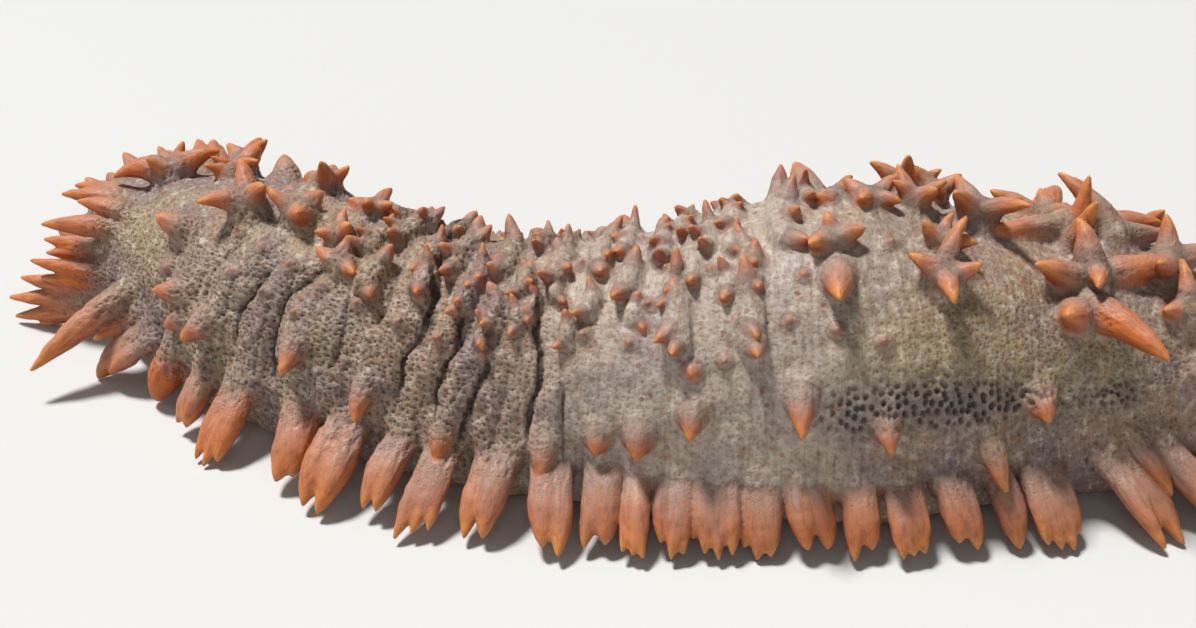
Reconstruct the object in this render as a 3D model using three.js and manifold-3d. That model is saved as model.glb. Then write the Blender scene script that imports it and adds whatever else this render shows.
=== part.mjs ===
// A prickly sea cucumber at life size, lying on its flat sole in a shallow curve.
// Millimetres, +Z up. +X points to the tail end and -Y to the outer side of the curve.
// The origin is on the floor, under the middle of the animal's bounding box.
// The body is long and round with a flat sole. Fleshy papillae grow from it: a fringe of
// broad ones along both edges of the sole, single ones on the flanks and stars on the back.
import * as THREE from "three";
import { mergeVertices } from "three/addons/utils/BufferGeometryUtils.js";
import Module from "manifold-3d";

const wasm = await Module();
wasm.setup();

// Midline seen from above. A place along it is a distance from the midline's first point.
const MIDLINE = new THREE.CubicBezierCurve3(
  new THREE.Vector3(-248, 55, 0),
  new THREE.Vector3(-41, -93, 0),
  new THREE.Vector3(23, -15, 0),
  new THREE.Vector3(242, 55, 0),
);
MIDLINE.arcLengthDivisions = 800;
const LENGTH = MIDLINE.getLength();
const HEAD_START = 24;

// Height and half width of the body where its girth is 1
const HEIGHT = 88;
const HALF_WIDTH = 55;

// Girth along the body: even, thicker towards the tail, tapered over the head's share
const GIRTH = 0.81;
const TAIL_GIRTH = 0.23;
const TAIL_THICKEST = 0.68;
const TAIL_SPREAD = 0.13;
const HEAD_TAPER = 0.3;
const HEAD_SHARE = 0.3;

// The two ends round off over these lengths
const HEAD_ROUNDING = 52;
const TAIL_ROUNDING = 92;
const ROUNDING_POWER = 2.2;

// Widest line of the section above the floor, and its rise towards the round ends
const WAIST = 20;
const WAIST_RISE = 14;
const BACK_POWER = 2.3;
const BELLY_POWER = 4;
const BELLY_DEPTH = 1.15;

// Facets of the body
const AROUND = 18;
const ALONG = 28;
const END_CROWDING = 0.6;

// Thin cuts that part the body, and the sole set into its underside
const GAP = 0.3;
const CUTS = [103, 191, 267, 344, 424.5];
const LENGTH_NAMES = [
  "head_end", "trunk_front", "trunk_fore_middle", "trunk_hind_middle", "trunk_rear", "tail_end",
];
const SOLE_START = 52;
const SOLE_END = 44;
const SOLE_SHARE = 0.72;
const SOLE_DEPTH = 5;
const SOLE_STATIONS = 12;
const SOLE_OVERRUN = 1;
const SOLE_END_POWER = 8;
const SOLE_END_SHARE = 0.05;
const SOLE_CUTS = [180, 344];
const SOLE_NAMES = ["sole_front", "sole_middle", "sole_rear"];

// The vent in the tail end
const VENT_RADIUS = 6;
const VENT_DEPTH = 7;
const VENT_SIDES = 7;

// Fringe along the edge of the sole: place, width, length, fingers, aim.
// Aim is in degrees from straight out, plus towards the tail.
const FRINGE = [
  [112, 20, 27, 3, -46], [127, 8, 18, 1, -30], [143, 12, 23, 2, 0], [158, 16, 26, 3, 2],
  [182, 14, 28, 2, 14], [199, 14, 33, 2, -4], [215, 11, 31, 2, -6], [229, 14, 34, 3, -6],
  [242, 7, 29, 1, -5], [248, 8, 31, 1, -8], [261, 13, 32, 2, 10], [275, 13, 27, 2, 4],
  [286, 11, 28, 3, 4], [297, 12, 26, 3, 4], [309, 17, 23, 4, 2], [322, 14, 21, 3, 2],
  [335, 14, 23, 2, 24], [351, 12, 21, 2, 8], [366, 14, 23, 3, 4], [382, 12, 23, 2, 10],
  [398, 8, 24, 1, 10], [414, 20, 27, 4, 6], [439, 18, 34, 4, 30], [458, 16, 31, 3, 38],
  [476, 13, 28, 2, 50], [492, 11, 22, 2, 66],
];
const FRINGE_ANGLE = 0;
const FRINGE_TIP_HEIGHT = 3;
const FRINGE_THICKNESS = 9;
const FRINGE_THICKEST = 0.4;
const FRINGE_SHOULDER = 0.5;
const FRINGE_VALLEY = 0.7;
const FRINGE_FAN = 1.12;
const FRINGE_STEEPEST = 0.9;
const FRINGE_TIP_SPREAD = 2;
const FRINGE_OUTER_SHORTER = 0.07;
const FRINGE_UNEVEN = 0.06;

// Single papillae of the flank: place, angle round the body, length, radius, tilt, aim.
// Tilt is from the skin's normal. Aim is 0 to the tail, 90 up, 180 to the head, 270 down.
const FLANK = [
  [97, 14, 48, 8, 34, 263], [77, 10, 34, 6, 48, 185], [70, -2, 42, 7, 40, 190],
  [62, -12, 42, 6, 36, 205], [66, -13, 29, 5, 32, 235], [68, 22, 26, 5, 42, 195],
  [104, 6, 26, 5, 55, 215], [74, 66, 31, 6, 62, 210], [80, 57, 24, 5, 60, 205],
  [78, 44, 32, 6, 50, 210], [121, 60, 16, 7, 42, 200], [143, 22, 13, 5.5, 42, 250],
  [130, 30, 13, 5, 58, 192], [131, 19, 9, 4.5, 45, 240], [179, 30, 17, 5.5, 60, 284],
  [203, 18, 15, 5, 60, 280], [228, 8, 14, 5, 58, 275], [249, 3, 14, 4.5, 55, 262],
  [258, 8, 17, 5, 60, 276], [274, 14, 10, 5, 55, 270], [286, 16, 13, 6, 52, 270],
  [301, 24, 14, 4.5, 60, 270], [301, 36, 5, 3, 10, 270], [333, 29, 19, 5.5, 66, 268],
  [346, 67, 23, 6.5, 62, 262], [359, 19, 14, 5, 60, 275], [394, 11, 20, 5, 60, 282],
  [411, 24, 12, 6, 45, 270], [427, 54, 16, 7, 56, 200], [428, 45, 26, 6.5, 58, 300],
  [448, 6, 24, 5.5, 50, 298], [470, 32, 27, 7, 45, 310], [434, 92, 26, 5, 14, 90],
];
const FAR_FLANK_LENGTH = 13;

// Stars of the back: place, angle round the body, reach, fingers, turn
const STARS = [
  [80, 89, 18, 4, 120], [96, 117, 17, 4, 190], [106, 103, 14, 3, 230], [137, 81, 16, 3, 230],
  [146, 115, 14, 4, 190], [157, 87, 15, 3, 215], [178, 83, 11, 3, 225], [177, 105, 11, 4, 5],
  [189, 87, 8, 3, 190], [186, 68, 10, 3, 195], [197, 67, 12, 2, 70], [198, 102, 10, 4, 80],
  [212, 85, 9, 2, 130], [215, 71, 11, 2, 140], [222, 91, 10, 4, 220], [231, 78, 8, 3, 160],
  [230, 65, 7, 3, 170], [240, 60, 7, 3, 150], [238, 48, 5, 3, 150], [239, 90, 9, 4, 130],
  [247, 76, 6, 3, 120], [247, 58, 5, 2, 130], [252, 64, 5, 3, 140], [249, 106, 9, 3, 180],
  [257, 88, 9, 4, 130], [258, 71, 5, 2, 40], [270, 65, 8, 2, 150], [264, 52, 6, 2, 60],
  [272, 92, 10, 3, 120], [280, 103, 9, 4, 85], [292, 91, 9, 3, 130], [299, 102, 9, 3, 265],
  [307, 92, 9, 3, 100], [316, 105, 9, 3, 10], [315, 86, 8, 2, 95], [282, 75, 10, 2, 95],
  [283, 60, 6, 2, 105], [301, 79, 10, 3, 135], [295, 71, 7, 3, 350], [298, 58, 11, 4, 160],
  [320, 74, 10, 3, 120], [312, 68, 7, 2, 100], [318, 57, 12, 4, 350], [332, 96, 13, 4, 150],
  [343, 111, 10, 3, 220], [352, 101, 10, 2, 190], [345, 78, 12, 3, 90], [363, 97, 12, 4, 125],
  [378, 96, 13, 4, 195], [382, 78, 11, 3, 60], [379, 63, 17, 4, 5], [388, 114, 13, 4, 0],
  [399, 93, 20, 4, 10], [430, 94, 24, 2, 8], [448, 95, 24, 2, 348], [433, 72, 23, 4, 200],
  [463, 82, 19, 3, 250], [466, 58, 15, 3, 195],
];
const FAR_STAR_LIMIT = 74;
const FAR_STAR_SHARE = 0.8;

// Rings of papillae round the two ends: place, length, radius, aim
const END_RINGS = [[50, 19, 5.5, 180], [36, 11, 4.5, 180], [486, 32, 6.5, 0], [506, 20, 5, 0]];
const END_RING_ANGLES = [14, 52, 90, 128, 166];
const END_RING_TILT = 48;

// Shape of one papilla finger. Only the long ones bulge between root and tip.
const FINGER_TAPER = 0.75;
const FINGER_SINK = 2.5;
const FINGER_SIDES = 4;
const THICK_FINGER = 6;
const FLOOR_CLEARANCE = 2;
const LONG_FINGER = 26;

// Shape of a star, as shares of its reach: the tips' common root, the top and the valleys
const STAR_LEAN = 58;
const STAR_HUB = 0.22;
const STAR_TOP = 0.66;
const STAR_VALLEY = 0.34;
const STAR_VALLEY_HEIGHT = 0.36;
const STAR_SINK = 6;
const STAR_HUB_SINK = 2;
const STAR_TILT_SPREAD = 10;
const STAR_SHORTEST = 0.95;
const STAR_LENGTH_SPREAD = 0.25;
const CROWN_MIDDLE = 0.4;

// How far places, angles, aims and lengths vary from one papilla to the next
const PLACE_SPREAD = 3;
const STAR_PLACE_SPREAD = 4;
const RING_ANGLE_SPREAD = 6;
const AIM_SPREAD = 14;
const RING_LENGTH_SPREAD = 0.15;
const FRINGE_LENGTH_SPREAD = 0.08;
const FLANK_LENGTH_SPREAD = 0.1;
const SEED = {
  farFringe: 30, farFringePlace: 40, farFringeLength: 60, farStar: 70,
  farFlankPlace: 80, farFlankLength: 90, endRing: 300,
};

// Points closer than this are one vertex
const MERGE_DISTANCE = 1e-4;

const SKIN = { color: 0x9b8673, roughness: 0.62, metalness: 0 };
const SOLE = { color: 0xa8574a, roughness: 0.55, metalness: 0 };

const radians = THREE.MathUtils.degToRad;

// A repeatable number from 0 to 1, and one from -1 to 1
function scatter(key) {
  const wave = Math.sin(key * 12.9898 + 4.1414) * 43758.5453;
  return wave - Math.floor(wave);
}

function jitter(key) {
  return 2 * scatter(key) - 1;
}

function girth(place) {
  const share = place / LENGTH;
  const swell = TAIL_GIRTH * Math.exp(-(((share - TAIL_THICKEST) / TAIL_SPREAD) ** 2));
  const taper = HEAD_TAPER * (1 - THREE.MathUtils.smoothstep(share, 0, HEAD_SHARE));
  return GIRTH + swell - taper;
}

function roundEnds(place) {
  const head = Math.max(0, (HEAD_START + HEAD_ROUNDING - place) / HEAD_ROUNDING);
  const tail = Math.max(0, (place - LENGTH + TAIL_ROUNDING) / TAIL_ROUNDING);
  const headFactor = Math.sqrt(Math.max(0, 1 - head ** ROUNDING_POWER));
  const tailFactor = Math.sqrt(Math.max(0, 1 - tail ** ROUNDING_POWER));
  return headFactor * tailFactor;
}

// A point of the skin. Angle 0 is the near edge, 90 the back, 180 the far edge, 270 the sole.
function skinPoint(place, angle, growth = 0) {
  const round = roundEnds(place);
  const grow = round > 0 ? growth : 0;
  const waist = WAIST + WAIST_RISE * (1 - round);
  const cosine = Math.cos(radians(angle));
  const sine = Math.sin(radians(angle));
  const onBack = sine >= 0;
  const power = 2 / (onBack ? BACK_POWER : BELLY_POWER);
  const reach = onBack
    ? (HEIGHT * girth(place) - waist) * round + grow
    : -BELLY_DEPTH * waist * round - grow;
  const halfWidth = HALF_WIDTH * girth(place) * round + grow;
  const across = halfWidth * Math.sign(cosine) * Math.abs(cosine) ** power;
  const height = Math.max(-grow, waist + reach * Math.abs(sine) ** power);
  const share = THREE.MathUtils.clamp(place / LENGTH, 0, 1);
  const centre = MIDLINE.getPointAt(share);
  const ahead = MIDLINE.getTangentAt(share);
  return new THREE.Vector3(centre.x + ahead.y * across, centre.y - ahead.x * across, height);
}

// Directions on the skin: along to the tail, up round the body, and out
function skinFrame(place, angle) {
  const step = 0.5;
  const root = skinPoint(place, angle);
  const along = skinPoint(place + step, angle).sub(skinPoint(place - step, angle)).normalize();
  const round = skinPoint(place, angle + step).sub(skinPoint(place, angle - step));
  const out = along.clone().cross(round).normalize();
  const up = out.clone().cross(along);
  return { root, along, up, out };
}

// The direction, raised where the tip would come too near the floor
function aboveFloor(root, direction, length) {
  const lowest = (FLOOR_CLEARANCE - root.z) / length;
  if (direction.z >= lowest) {
    return direction;
  }
  return direction.clone().setZ(0).setLength(Math.sqrt(1 - lowest * lowest)).setZ(lowest);
}

function leaning(frame, tilt, aim) {
  const sideways = Math.sin(radians(tilt));
  return frame.out.clone().multiplyScalar(Math.cos(radians(tilt)))
    .addScaledVector(frame.along, sideways * Math.cos(radians(aim)))
    .addScaledVector(frame.up, sideways * Math.sin(radians(aim)))
    .normalize();
}

// One broad papilla of the fringe, its tips just above the floor. Its corners run round it:
// two at the root, a shoulder, tips and valleys in turn, and the other shoulder.
function fringePaw([place, width, length, count, aim], key, far) {
  const { root, along, out } = skinFrame(place, far ? 180 - FRINGE_ANGLE : FRINGE_ANGLE);
  const level = out.clone().setZ(0).normalize().multiplyScalar(Math.cos(radians(aim)))
    .addScaledVector(along, Math.sin(radians(aim))).setZ(0).normalize();
  const tipHeight = FRINGE_TIP_HEIGHT + FRINGE_TIP_SPREAD * scatter(key * 7);
  const drop = Math.min(FRINGE_STEEPEST, (root.z - tipHeight) / length);
  const direction = level.multiplyScalar(Math.sqrt(1 - drop * drop)).setZ(-drop);
  const across = direction.clone().cross(new THREE.Vector3(0, 0, 1)).normalize();
  const upright = across.clone().cross(direction);
  const at = (sideways, reach, height = 0) => root.clone().addScaledVector(across, sideways)
    .addScaledVector(direction, reach).addScaledVector(upright, height);
  const finger = (width / count) * FRINGE_FAN;
  const corners = [at(-width / 2, -FINGER_SINK), at(width / 2, -FINGER_SINK)];
  corners.push(at(width / 2, length * FRINGE_SHOULDER));
  for (let tip = count - 1; tip >= 0; tip -= 1) {
    const offset = tip - (count - 1) / 2;
    const shorter = FRINGE_OUTER_SHORTER * Math.abs(offset);
    const uneven = FRINGE_UNEVEN * jitter(key * 5 + tip);
    corners.push(at(offset * finger, length * (1 - shorter + uneven)));
    if (tip > 0) {
      corners.push(at((offset - 0.5) * finger, length * FRINGE_VALLEY));
    }
  }
  corners.push(at(-width / 2, length * FRINGE_SHOULDER));
  const top = at(0, length * FRINGE_THICKEST, FRINGE_THICKNESS / 2);
  const bottom = at(0, length * FRINGE_THICKEST, -FRINGE_THICKNESS / 2);
  return { place, top, corners, bottom };
}

function flankFinger([place, angle, length, radius, tilt, aim], far) {
  const frame = skinFrame(place, far ? 180 - angle : angle);
  const root = frame.root.clone().addScaledVector(frame.out, -FINGER_SINK);
  return {
    place,
    root,
    direction: aboveFloor(root, leaning(frame, tilt, far ? -aim : aim), length),
    side: frame.along,
    length,
    radius,
  };
}

// A star: pointed fingers spreading from one hub. Its corners are tips and valleys in turn.
function star([place, angle, reach, count, turn], key) {
  const frame = skinFrame(place, angle);
  const hub = frame.root.clone().addScaledVector(frame.out, reach * STAR_HUB - STAR_HUB_SINK);
  const corners = [];
  for (let finger = 0; finger < count; finger += 1) {
    const aim = turn + (360 * finger) / count;
    const tilt = STAR_LEAN + STAR_TILT_SPREAD * jitter(key * 11 + finger);
    const direction = leaning(frame, tilt, aim + AIM_SPREAD * jitter(key * 9 + finger));
    const length = reach * (STAR_SHORTEST + STAR_LENGTH_SPREAD * scatter(key * 13 + finger));
    corners.push(hub.clone().addScaledVector(direction, length));
    corners.push(frame.root.clone()
      .addScaledVector(leaning(frame, 90, aim + 180 / count), reach * STAR_VALLEY)
      .addScaledVector(frame.out, reach * STAR_VALLEY_HEIGHT));
  }
  return {
    place,
    top: frame.root.clone().addScaledVector(frame.out, reach * STAR_TOP),
    corners,
    bottom: frame.root.clone().addScaledVector(frame.out, -STAR_SINK),
  };
}

function ringFingers() {
  const fingers = [];
  END_RINGS.forEach(([place, length, radius, aim], ring) => {
    END_RING_ANGLES.forEach((angle, index) => {
      const key = SEED.endRing + ring * END_RING_ANGLES.length + index;
      const spot = [
        place + PLACE_SPREAD * jitter(key),
        angle + RING_ANGLE_SPREAD * jitter(key + 0.3),
        length * (1 + RING_LENGTH_SPREAD * jitter(key + 0.6)),
        radius,
        END_RING_TILT,
        aim + AIM_SPREAD * jitter(key + 0.9),
      ];
      fingers.push(flankFinger(spot, false));
    });
  });
  return fingers;
}

function allPaws() {
  const paws = [];
  FRINGE.forEach((row, index) => {
    const [place, width, length, count, aim] = row;
    paws.push(fringePaw(row, index, false));
    const farPlace = place + PLACE_SPREAD * jitter(index + SEED.farFringePlace);
    const farLength = length * (1 + FRINGE_LENGTH_SPREAD * jitter(index + SEED.farFringeLength));
    paws.push(fringePaw([farPlace, width, farLength, count, aim], index + SEED.farFringe, true));
  });
  return paws;
}

function allFingers() {
  const fingers = [];
  FLANK.forEach((row, index) => {
    const [place, angle, length, radius, tilt, aim] = row;
    fingers.push(flankFinger(row, false));
    if (length > FAR_FLANK_LENGTH) {
      const farPlace = place + PLACE_SPREAD * jitter(index + SEED.farFlankPlace);
      const farLength = length * (1 + FLANK_LENGTH_SPREAD * jitter(index + SEED.farFlankLength));
      fingers.push(flankFinger([farPlace, angle, farLength, radius, tilt, aim], true));
    }
  });
  return fingers.concat(ringFingers());
}

function allStars() {
  const stars = [];
  STARS.forEach((row, index) => {
    const [place, angle, reach, count, turn] = row;
    stars.push(star(row, index));
    if (angle < FAR_STAR_LIMIT) {
      const farPlace = place + STAR_PLACE_SPREAD * jitter(index);
      const farRow = [farPlace, 180 - angle, reach * FAR_STAR_SHARE, count, -turn];
      stars.push(star(farRow, index + SEED.farStar));
    }
  });
  return stars;
}

function solidOf(geometry) {
  geometry.deleteAttribute("normal");
  geometry.deleteAttribute("uv");
  const merged = mergeVertices(geometry, MERGE_DISTANCE);
  const mesh = new wasm.Mesh({
    numProp: 3,
    vertProperties: merged.attributes.position.array,
    triVerts: new Uint32Array(merged.index.array),
  });
  return new wasm.Manifold(mesh);
}

function meshOf(name, solid, look) {
  const { vertProperties, triVerts } = solid.getMesh();
  const geometry = new THREE.BufferGeometry();
  geometry.setAttribute("position", new THREE.BufferAttribute(vertProperties, 3));
  geometry.setIndex(new THREE.BufferAttribute(triVerts, 1));
  geometry.computeVertexNormals();
  const mesh = new THREE.Mesh(geometry, new THREE.MeshStandardMaterial(look));
  mesh.name = name;
  return mesh;
}

// The body without papillae: a sphere whose poles are drawn out to the two ends
function bodySolid(grow) {
  const geometry = new THREE.SphereGeometry(1, AROUND, ALONG);
  const { position, uv } = geometry.attributes;
  for (let index = 0; index < position.count; index += 1) {
    const share = 1 - uv.getY(index);
    const crowded = share - (END_CROWDING * Math.sin(2 * Math.PI * share)) / (2 * Math.PI);
    const place = THREE.MathUtils.lerp(HEAD_START, LENGTH, crowded);
    const point = skinPoint(place, 360 * uv.getX(index), grow);
    position.setXYZ(index, point.x, point.y, point.z);
  }
  return solidOf(geometry);
}

// A finger: a cone, bulged between its root and its tip if it is long
function fingerSolid(finger, grow) {
  const rings = finger.length > LONG_FINGER ? 2 : 1;
  const sides = finger.radius >= THICK_FINGER ? FINGER_SIDES + 1 : FINGER_SIDES;
  const geometry = new THREE.ConeGeometry(1, 1, sides, rings);
  const position = geometry.attributes.position;
  const thick = finger.side.clone().cross(finger.direction).normalize();
  const wide = finger.direction.clone().cross(thick);
  for (let index = 0; index < position.count; index += 1) {
    const share = position.getY(index) + 0.5;
    const ring = Math.hypot(position.getX(index), position.getZ(index));
    const point = finger.root.clone().addScaledVector(finger.direction, share * (finger.length + grow));
    if (ring > 0) {
      const radius = (finger.radius * (1 - share) ** FINGER_TAPER + grow) / ring;
      point.addScaledVector(wide, position.getX(index) * radius);
      point.addScaledVector(thick, position.getZ(index) * radius);
    }
    position.setXYZ(index, point.x, point.y, point.z);
  }
  return solidOf(geometry);
}

// A star or paw: a sphere with its equator drawn out to the corners
function crownSolid({ top, corners, bottom }, grow) {
  const geometry = new THREE.SphereGeometry(1, corners.length, 2);
  const { position, uv } = geometry.attributes;
  const middle = top.clone().lerp(bottom, CROWN_MIDDLE);
  for (let index = 0; index < position.count; index += 1) {
    const turn = Math.round(uv.getX(index) * corners.length) % corners.length;
    const height = Math.round(2 * uv.getY(index));
    const corner = [bottom, corners[turn], top][height];
    const outward = corner.clone().sub(middle).setLength(grow);
    const point = corner.clone().add(outward);
    position.setXYZ(index, point.x, point.y, point.z);
  }
  return solidOf(geometry);
}

// The plan of the sole as a slab. Its edge follows the body's own edge.
function soleSlab(grow) {
  const outline = [];
  const start = SOLE_START - grow;
  const end = LENGTH - SOLE_END + grow;
  for (const angle of [0, 180]) {
    for (let station = 0; station <= SOLE_STATIONS; station += 1) {
      const share = angle === 0 ? station / SOLE_STATIONS : 1 - station / SOLE_STATIONS;
      const place = THREE.MathUtils.lerp(start, end, share);
      const centre = MIDLINE.getPointAt(place / LENGTH);
      const edge = skinPoint(place, angle);
      const fromMiddle = Math.abs(2 * share - 1);
      const taper = Math.sqrt(Math.max(SOLE_END_SHARE, 1 - fromMiddle ** SOLE_END_POWER));
      const across = new THREE.Vector2(edge.x - centre.x, edge.y - centre.y);
      const width = across.length() * SOLE_SHARE * taper + grow;
      across.setLength(width);
      outline.push(new THREE.Vector2(centre.x + across.x, centre.y + across.y));
    }
  }
  const depth = SOLE_DEPTH + SOLE_OVERRUN + grow;
  const slab = new THREE.ExtrudeGeometry(new THREE.Shape(outline), { depth, bevelEnabled: false });
  return solidOf(slab.translate(0, 0, -SOLE_OVERRUN));
}

// The stretch between two places, cut square to the midline
function stretch(solid, from, to) {
  let piece = solid;
  for (const [place, sign] of [[from, 1], [to, -1]]) {
    if (place > 0 && place < LENGTH) {
      const centre = MIDLINE.getPointAt(place / LENGTH);
      const normal = MIDLINE.getTangentAt(place / LENGTH).multiplyScalar(sign);
      piece = piece.trimByPlane(normal.toArray(), normal.dot(centre));
    }
  }
  return piece;
}

function ventSolid() {
  const geometry = new THREE.ConeGeometry(VENT_RADIUS, VENT_DEPTH * 2, VENT_SIDES, 1);
  const inward = MIDLINE.getTangentAt(1).multiplyScalar(-1);
  geometry.applyQuaternion(new THREE.Quaternion().setFromUnitVectors(new THREE.Vector3(0, 1, 0), inward));
  const mouth = MIDLINE.getPointAt(1).setZ(WAIST + WAIST_RISE);
  return solidOf(geometry.translate(mouth.x, mouth.y, mouth.z));
}

const fingers = allFingers();
const crowns = allPaws().concat(allStars());
const body = bodySolid(0);
const grownBody = bodySolid(GAP);
const slab = soleSlab(0);
const upper = body.subtract(soleSlab(GAP)).subtract(ventSolid());
const edges = [0, ...CUTS, LENGTH];

function papillaeBetween(from, to, grow) {
  const between = ({ place }) => place >= from && place < to;
  return wasm.Manifold.union([
    ...fingers.filter(between).map((finger) => fingerSolid(finger, grow)),
    ...crowns.filter(between).map((crown) => crownSolid(crown, grow)),
  ]);
}

const group = new THREE.Group();

LENGTH_NAMES.forEach((name, index) => {
  const from = edges[index];
  const to = edges[index + 1];
  let papillae = papillaeBetween(from, to, 0);
  if (index > 0) {
    papillae = papillae.subtract(stretch(grownBody, edges[index - 1], from + GAP / 2));
    papillae = papillae.subtract(papillaeBetween(edges[index - 1], from, GAP));
  }
  if (index < LENGTH_NAMES.length - 1) {
    papillae = papillae.subtract(stretch(grownBody, to - GAP / 2, edges[index + 2]));
  }
  const flesh = stretch(upper, from + GAP / 2, to - GAP / 2);
  group.add(meshOf(name, flesh.add(papillae), SKIN));
});

const soleEdges = [0, ...SOLE_CUTS, LENGTH];
SOLE_NAMES.forEach((name, index) => {
  const from = soleEdges[index] + GAP / 2;
  const to = soleEdges[index + 1] - GAP / 2;
  group.add(meshOf(name, stretch(body.intersect(slab), from, to), SOLE));
});

export default group;
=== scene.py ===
# %% [markdown]
# # A prickly sea cucumber
# The real animal is a thick, soft roll of flesh with a flat creeping sole. Its skin is tan and
# pitted, and fleshy papillae with orange tips grow from it. The plan is one closed skin, because
# the living animal shows no seam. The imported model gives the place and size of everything.
# %% Load the frame
import itertools
import math

import bpy
import numpy as np
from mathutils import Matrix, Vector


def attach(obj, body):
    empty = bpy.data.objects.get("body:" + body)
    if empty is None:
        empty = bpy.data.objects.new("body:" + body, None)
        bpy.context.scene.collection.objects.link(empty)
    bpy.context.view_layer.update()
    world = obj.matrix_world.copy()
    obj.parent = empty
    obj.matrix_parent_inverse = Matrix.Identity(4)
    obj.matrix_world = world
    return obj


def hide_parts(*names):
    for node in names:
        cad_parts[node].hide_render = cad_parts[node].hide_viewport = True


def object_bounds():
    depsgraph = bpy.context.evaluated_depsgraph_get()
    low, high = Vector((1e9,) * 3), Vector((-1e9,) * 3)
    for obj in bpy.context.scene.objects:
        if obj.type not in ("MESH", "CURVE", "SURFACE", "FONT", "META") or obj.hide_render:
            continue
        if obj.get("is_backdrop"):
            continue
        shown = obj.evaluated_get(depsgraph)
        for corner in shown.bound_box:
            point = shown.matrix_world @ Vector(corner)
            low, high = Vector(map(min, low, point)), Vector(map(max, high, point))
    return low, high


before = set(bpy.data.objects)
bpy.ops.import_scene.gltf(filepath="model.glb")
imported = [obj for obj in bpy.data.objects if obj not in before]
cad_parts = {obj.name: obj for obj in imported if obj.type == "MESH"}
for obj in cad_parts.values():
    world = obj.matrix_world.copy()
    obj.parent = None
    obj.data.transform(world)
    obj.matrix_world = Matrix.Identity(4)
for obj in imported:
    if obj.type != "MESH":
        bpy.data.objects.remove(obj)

import openvdb
from mathutils import Vector

CAD_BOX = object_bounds()
MM = 0.001
print("box of the packed model in mm:", [[round(x / MM, 1) for x in corner] for corner in CAD_BOX])

# %% [markdown]
# ## The midline
# Every place on the animal is given by how far along the body it is and by an angle round it.
# A Bezier curve on the floor carries those places. Walking along a fine polyline of the curve
# turns a distance in millimetres into a point, which Blender's own curves don't offer directly.
# %% Midline
MIDLINE = np.array([(-248, 55), (-41, -93), (23, -15), (242, 55)], float)
MIDLINE_SAMPLES = 4001
bezier_share = np.linspace(0, 1, MIDLINE_SAMPLES)


def bezier(share):
    rest = 1 - share
    weights = (rest ** 3, 3 * share * rest ** 2, 3 * share ** 2 * rest, share ** 3)
    return np.stack(weights, -1) @ MIDLINE


midline_points = bezier(bezier_share)
walked = np.concatenate([[0], np.cumsum(np.linalg.norm(np.diff(midline_points, axis=0), axis=1))])
LENGTH = walked[-1]


def centre(place):
    return bezier(np.interp(place, walked, bezier_share))


def ahead(place):
    share = np.interp(place, walked, bezier_share)[..., None]
    rest = 1 - share
    legs = np.diff(MIDLINE, axis=0)
    slope = rest ** 2 * legs[0] + 2 * rest * share * legs[1] + share ** 2 * legs[2]
    return slope / np.linalg.norm(slope, axis=-1, keepdims=True)


print("length of the midline:", round(LENGTH, 1), "mm")

# %% [markdown]
# ## The body's measures
# The section of the body is a flattened oval: a round back over a squarer belly. A superellipse
# gives both with one power each. The girth swells towards the tail and tapers to the head, and
# the two ends round off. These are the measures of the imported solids, so the skin lies on them.
# %% Body measures
HEAD_START = 24
HEIGHT, HALF_WIDTH = 88, 55
GIRTH, TAIL_GIRTH, TAIL_THICKEST, TAIL_SPREAD = 0.81, 0.23, 0.68, 0.13
HEAD_TAPER, HEAD_SHARE = 0.3, 0.3
HEAD_ROUNDING, TAIL_ROUNDING, ROUNDING_POWER = 52, 92, 2.2
WAIST, WAIST_RISE = 20, 14
BACK_POWER, BELLY_POWER, BELLY_DEPTH = 2.3, 4, 1.15


def smoothstep(low, high, value):
    share = np.clip((value - low) / (high - low), 0, 1)
    return share * share * (3 - 2 * share)


def girth(place):
    share = place / LENGTH
    swell = TAIL_GIRTH * np.exp(-(((share - TAIL_THICKEST) / TAIL_SPREAD) ** 2))
    return GIRTH + swell - HEAD_TAPER * (1 - smoothstep(0, HEAD_SHARE, share))


def round_ends(place):
    head = np.maximum(0, (HEAD_START + HEAD_ROUNDING - place) / HEAD_ROUNDING)
    tail = np.maximum(0, (place - LENGTH + TAIL_ROUNDING) / TAIL_ROUNDING)
    factors = [np.sqrt(np.maximum(0, 1 - end ** ROUNDING_POWER)) for end in (head, tail)]
    return factors[0] * factors[1]


def skin_point(place, angle):
    """A point of the smooth body. Angle 0 is the near edge, 90 the back, 180 the far edge."""
    place, angle = np.broadcast_arrays(np.asarray(place, float), np.asarray(angle, float))
    rounding = round_ends(place)
    waist = WAIST + WAIST_RISE * (1 - rounding)
    cosine, sine = np.cos(np.radians(angle)), np.sin(np.radians(angle))
    power = np.where(sine >= 0, 2 / BACK_POWER, 2 / BELLY_POWER)
    back = (HEIGHT * girth(place) - waist) * rounding
    rise = np.where(sine >= 0, back, -BELLY_DEPTH * waist * rounding)
    across = HALF_WIDTH * girth(place) * rounding * np.sign(cosine) * np.abs(cosine) ** power
    height = np.maximum(0, waist + rise * np.abs(sine) ** power)
    middle, forward = centre(place), ahead(place)
    x = middle[..., 0] + forward[..., 1] * across
    y = middle[..., 1] - forward[..., 0] * across
    return np.stack([x, y, height], -1)


TINY = 1e-9


def unit(vectors):
    return vectors / np.maximum(np.linalg.norm(vectors, axis=-1, keepdims=True), TINY)


def skin_frame(place, angle, step=0.5):
    """Root, direction to the tail, direction up round the body, and outward direction."""
    root = skin_point(place, angle)
    along = unit(skin_point(place + step, angle) - skin_point(place - step, angle))
    around = skin_point(place, angle + step) - skin_point(place, angle - step)
    out = unit(np.cross(along, around))
    return root, along, np.cross(out, along), out


print("height of the back in the middle:", round(float(skin_point(LENGTH / 2, 90)[2]), 1), "mm")

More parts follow.
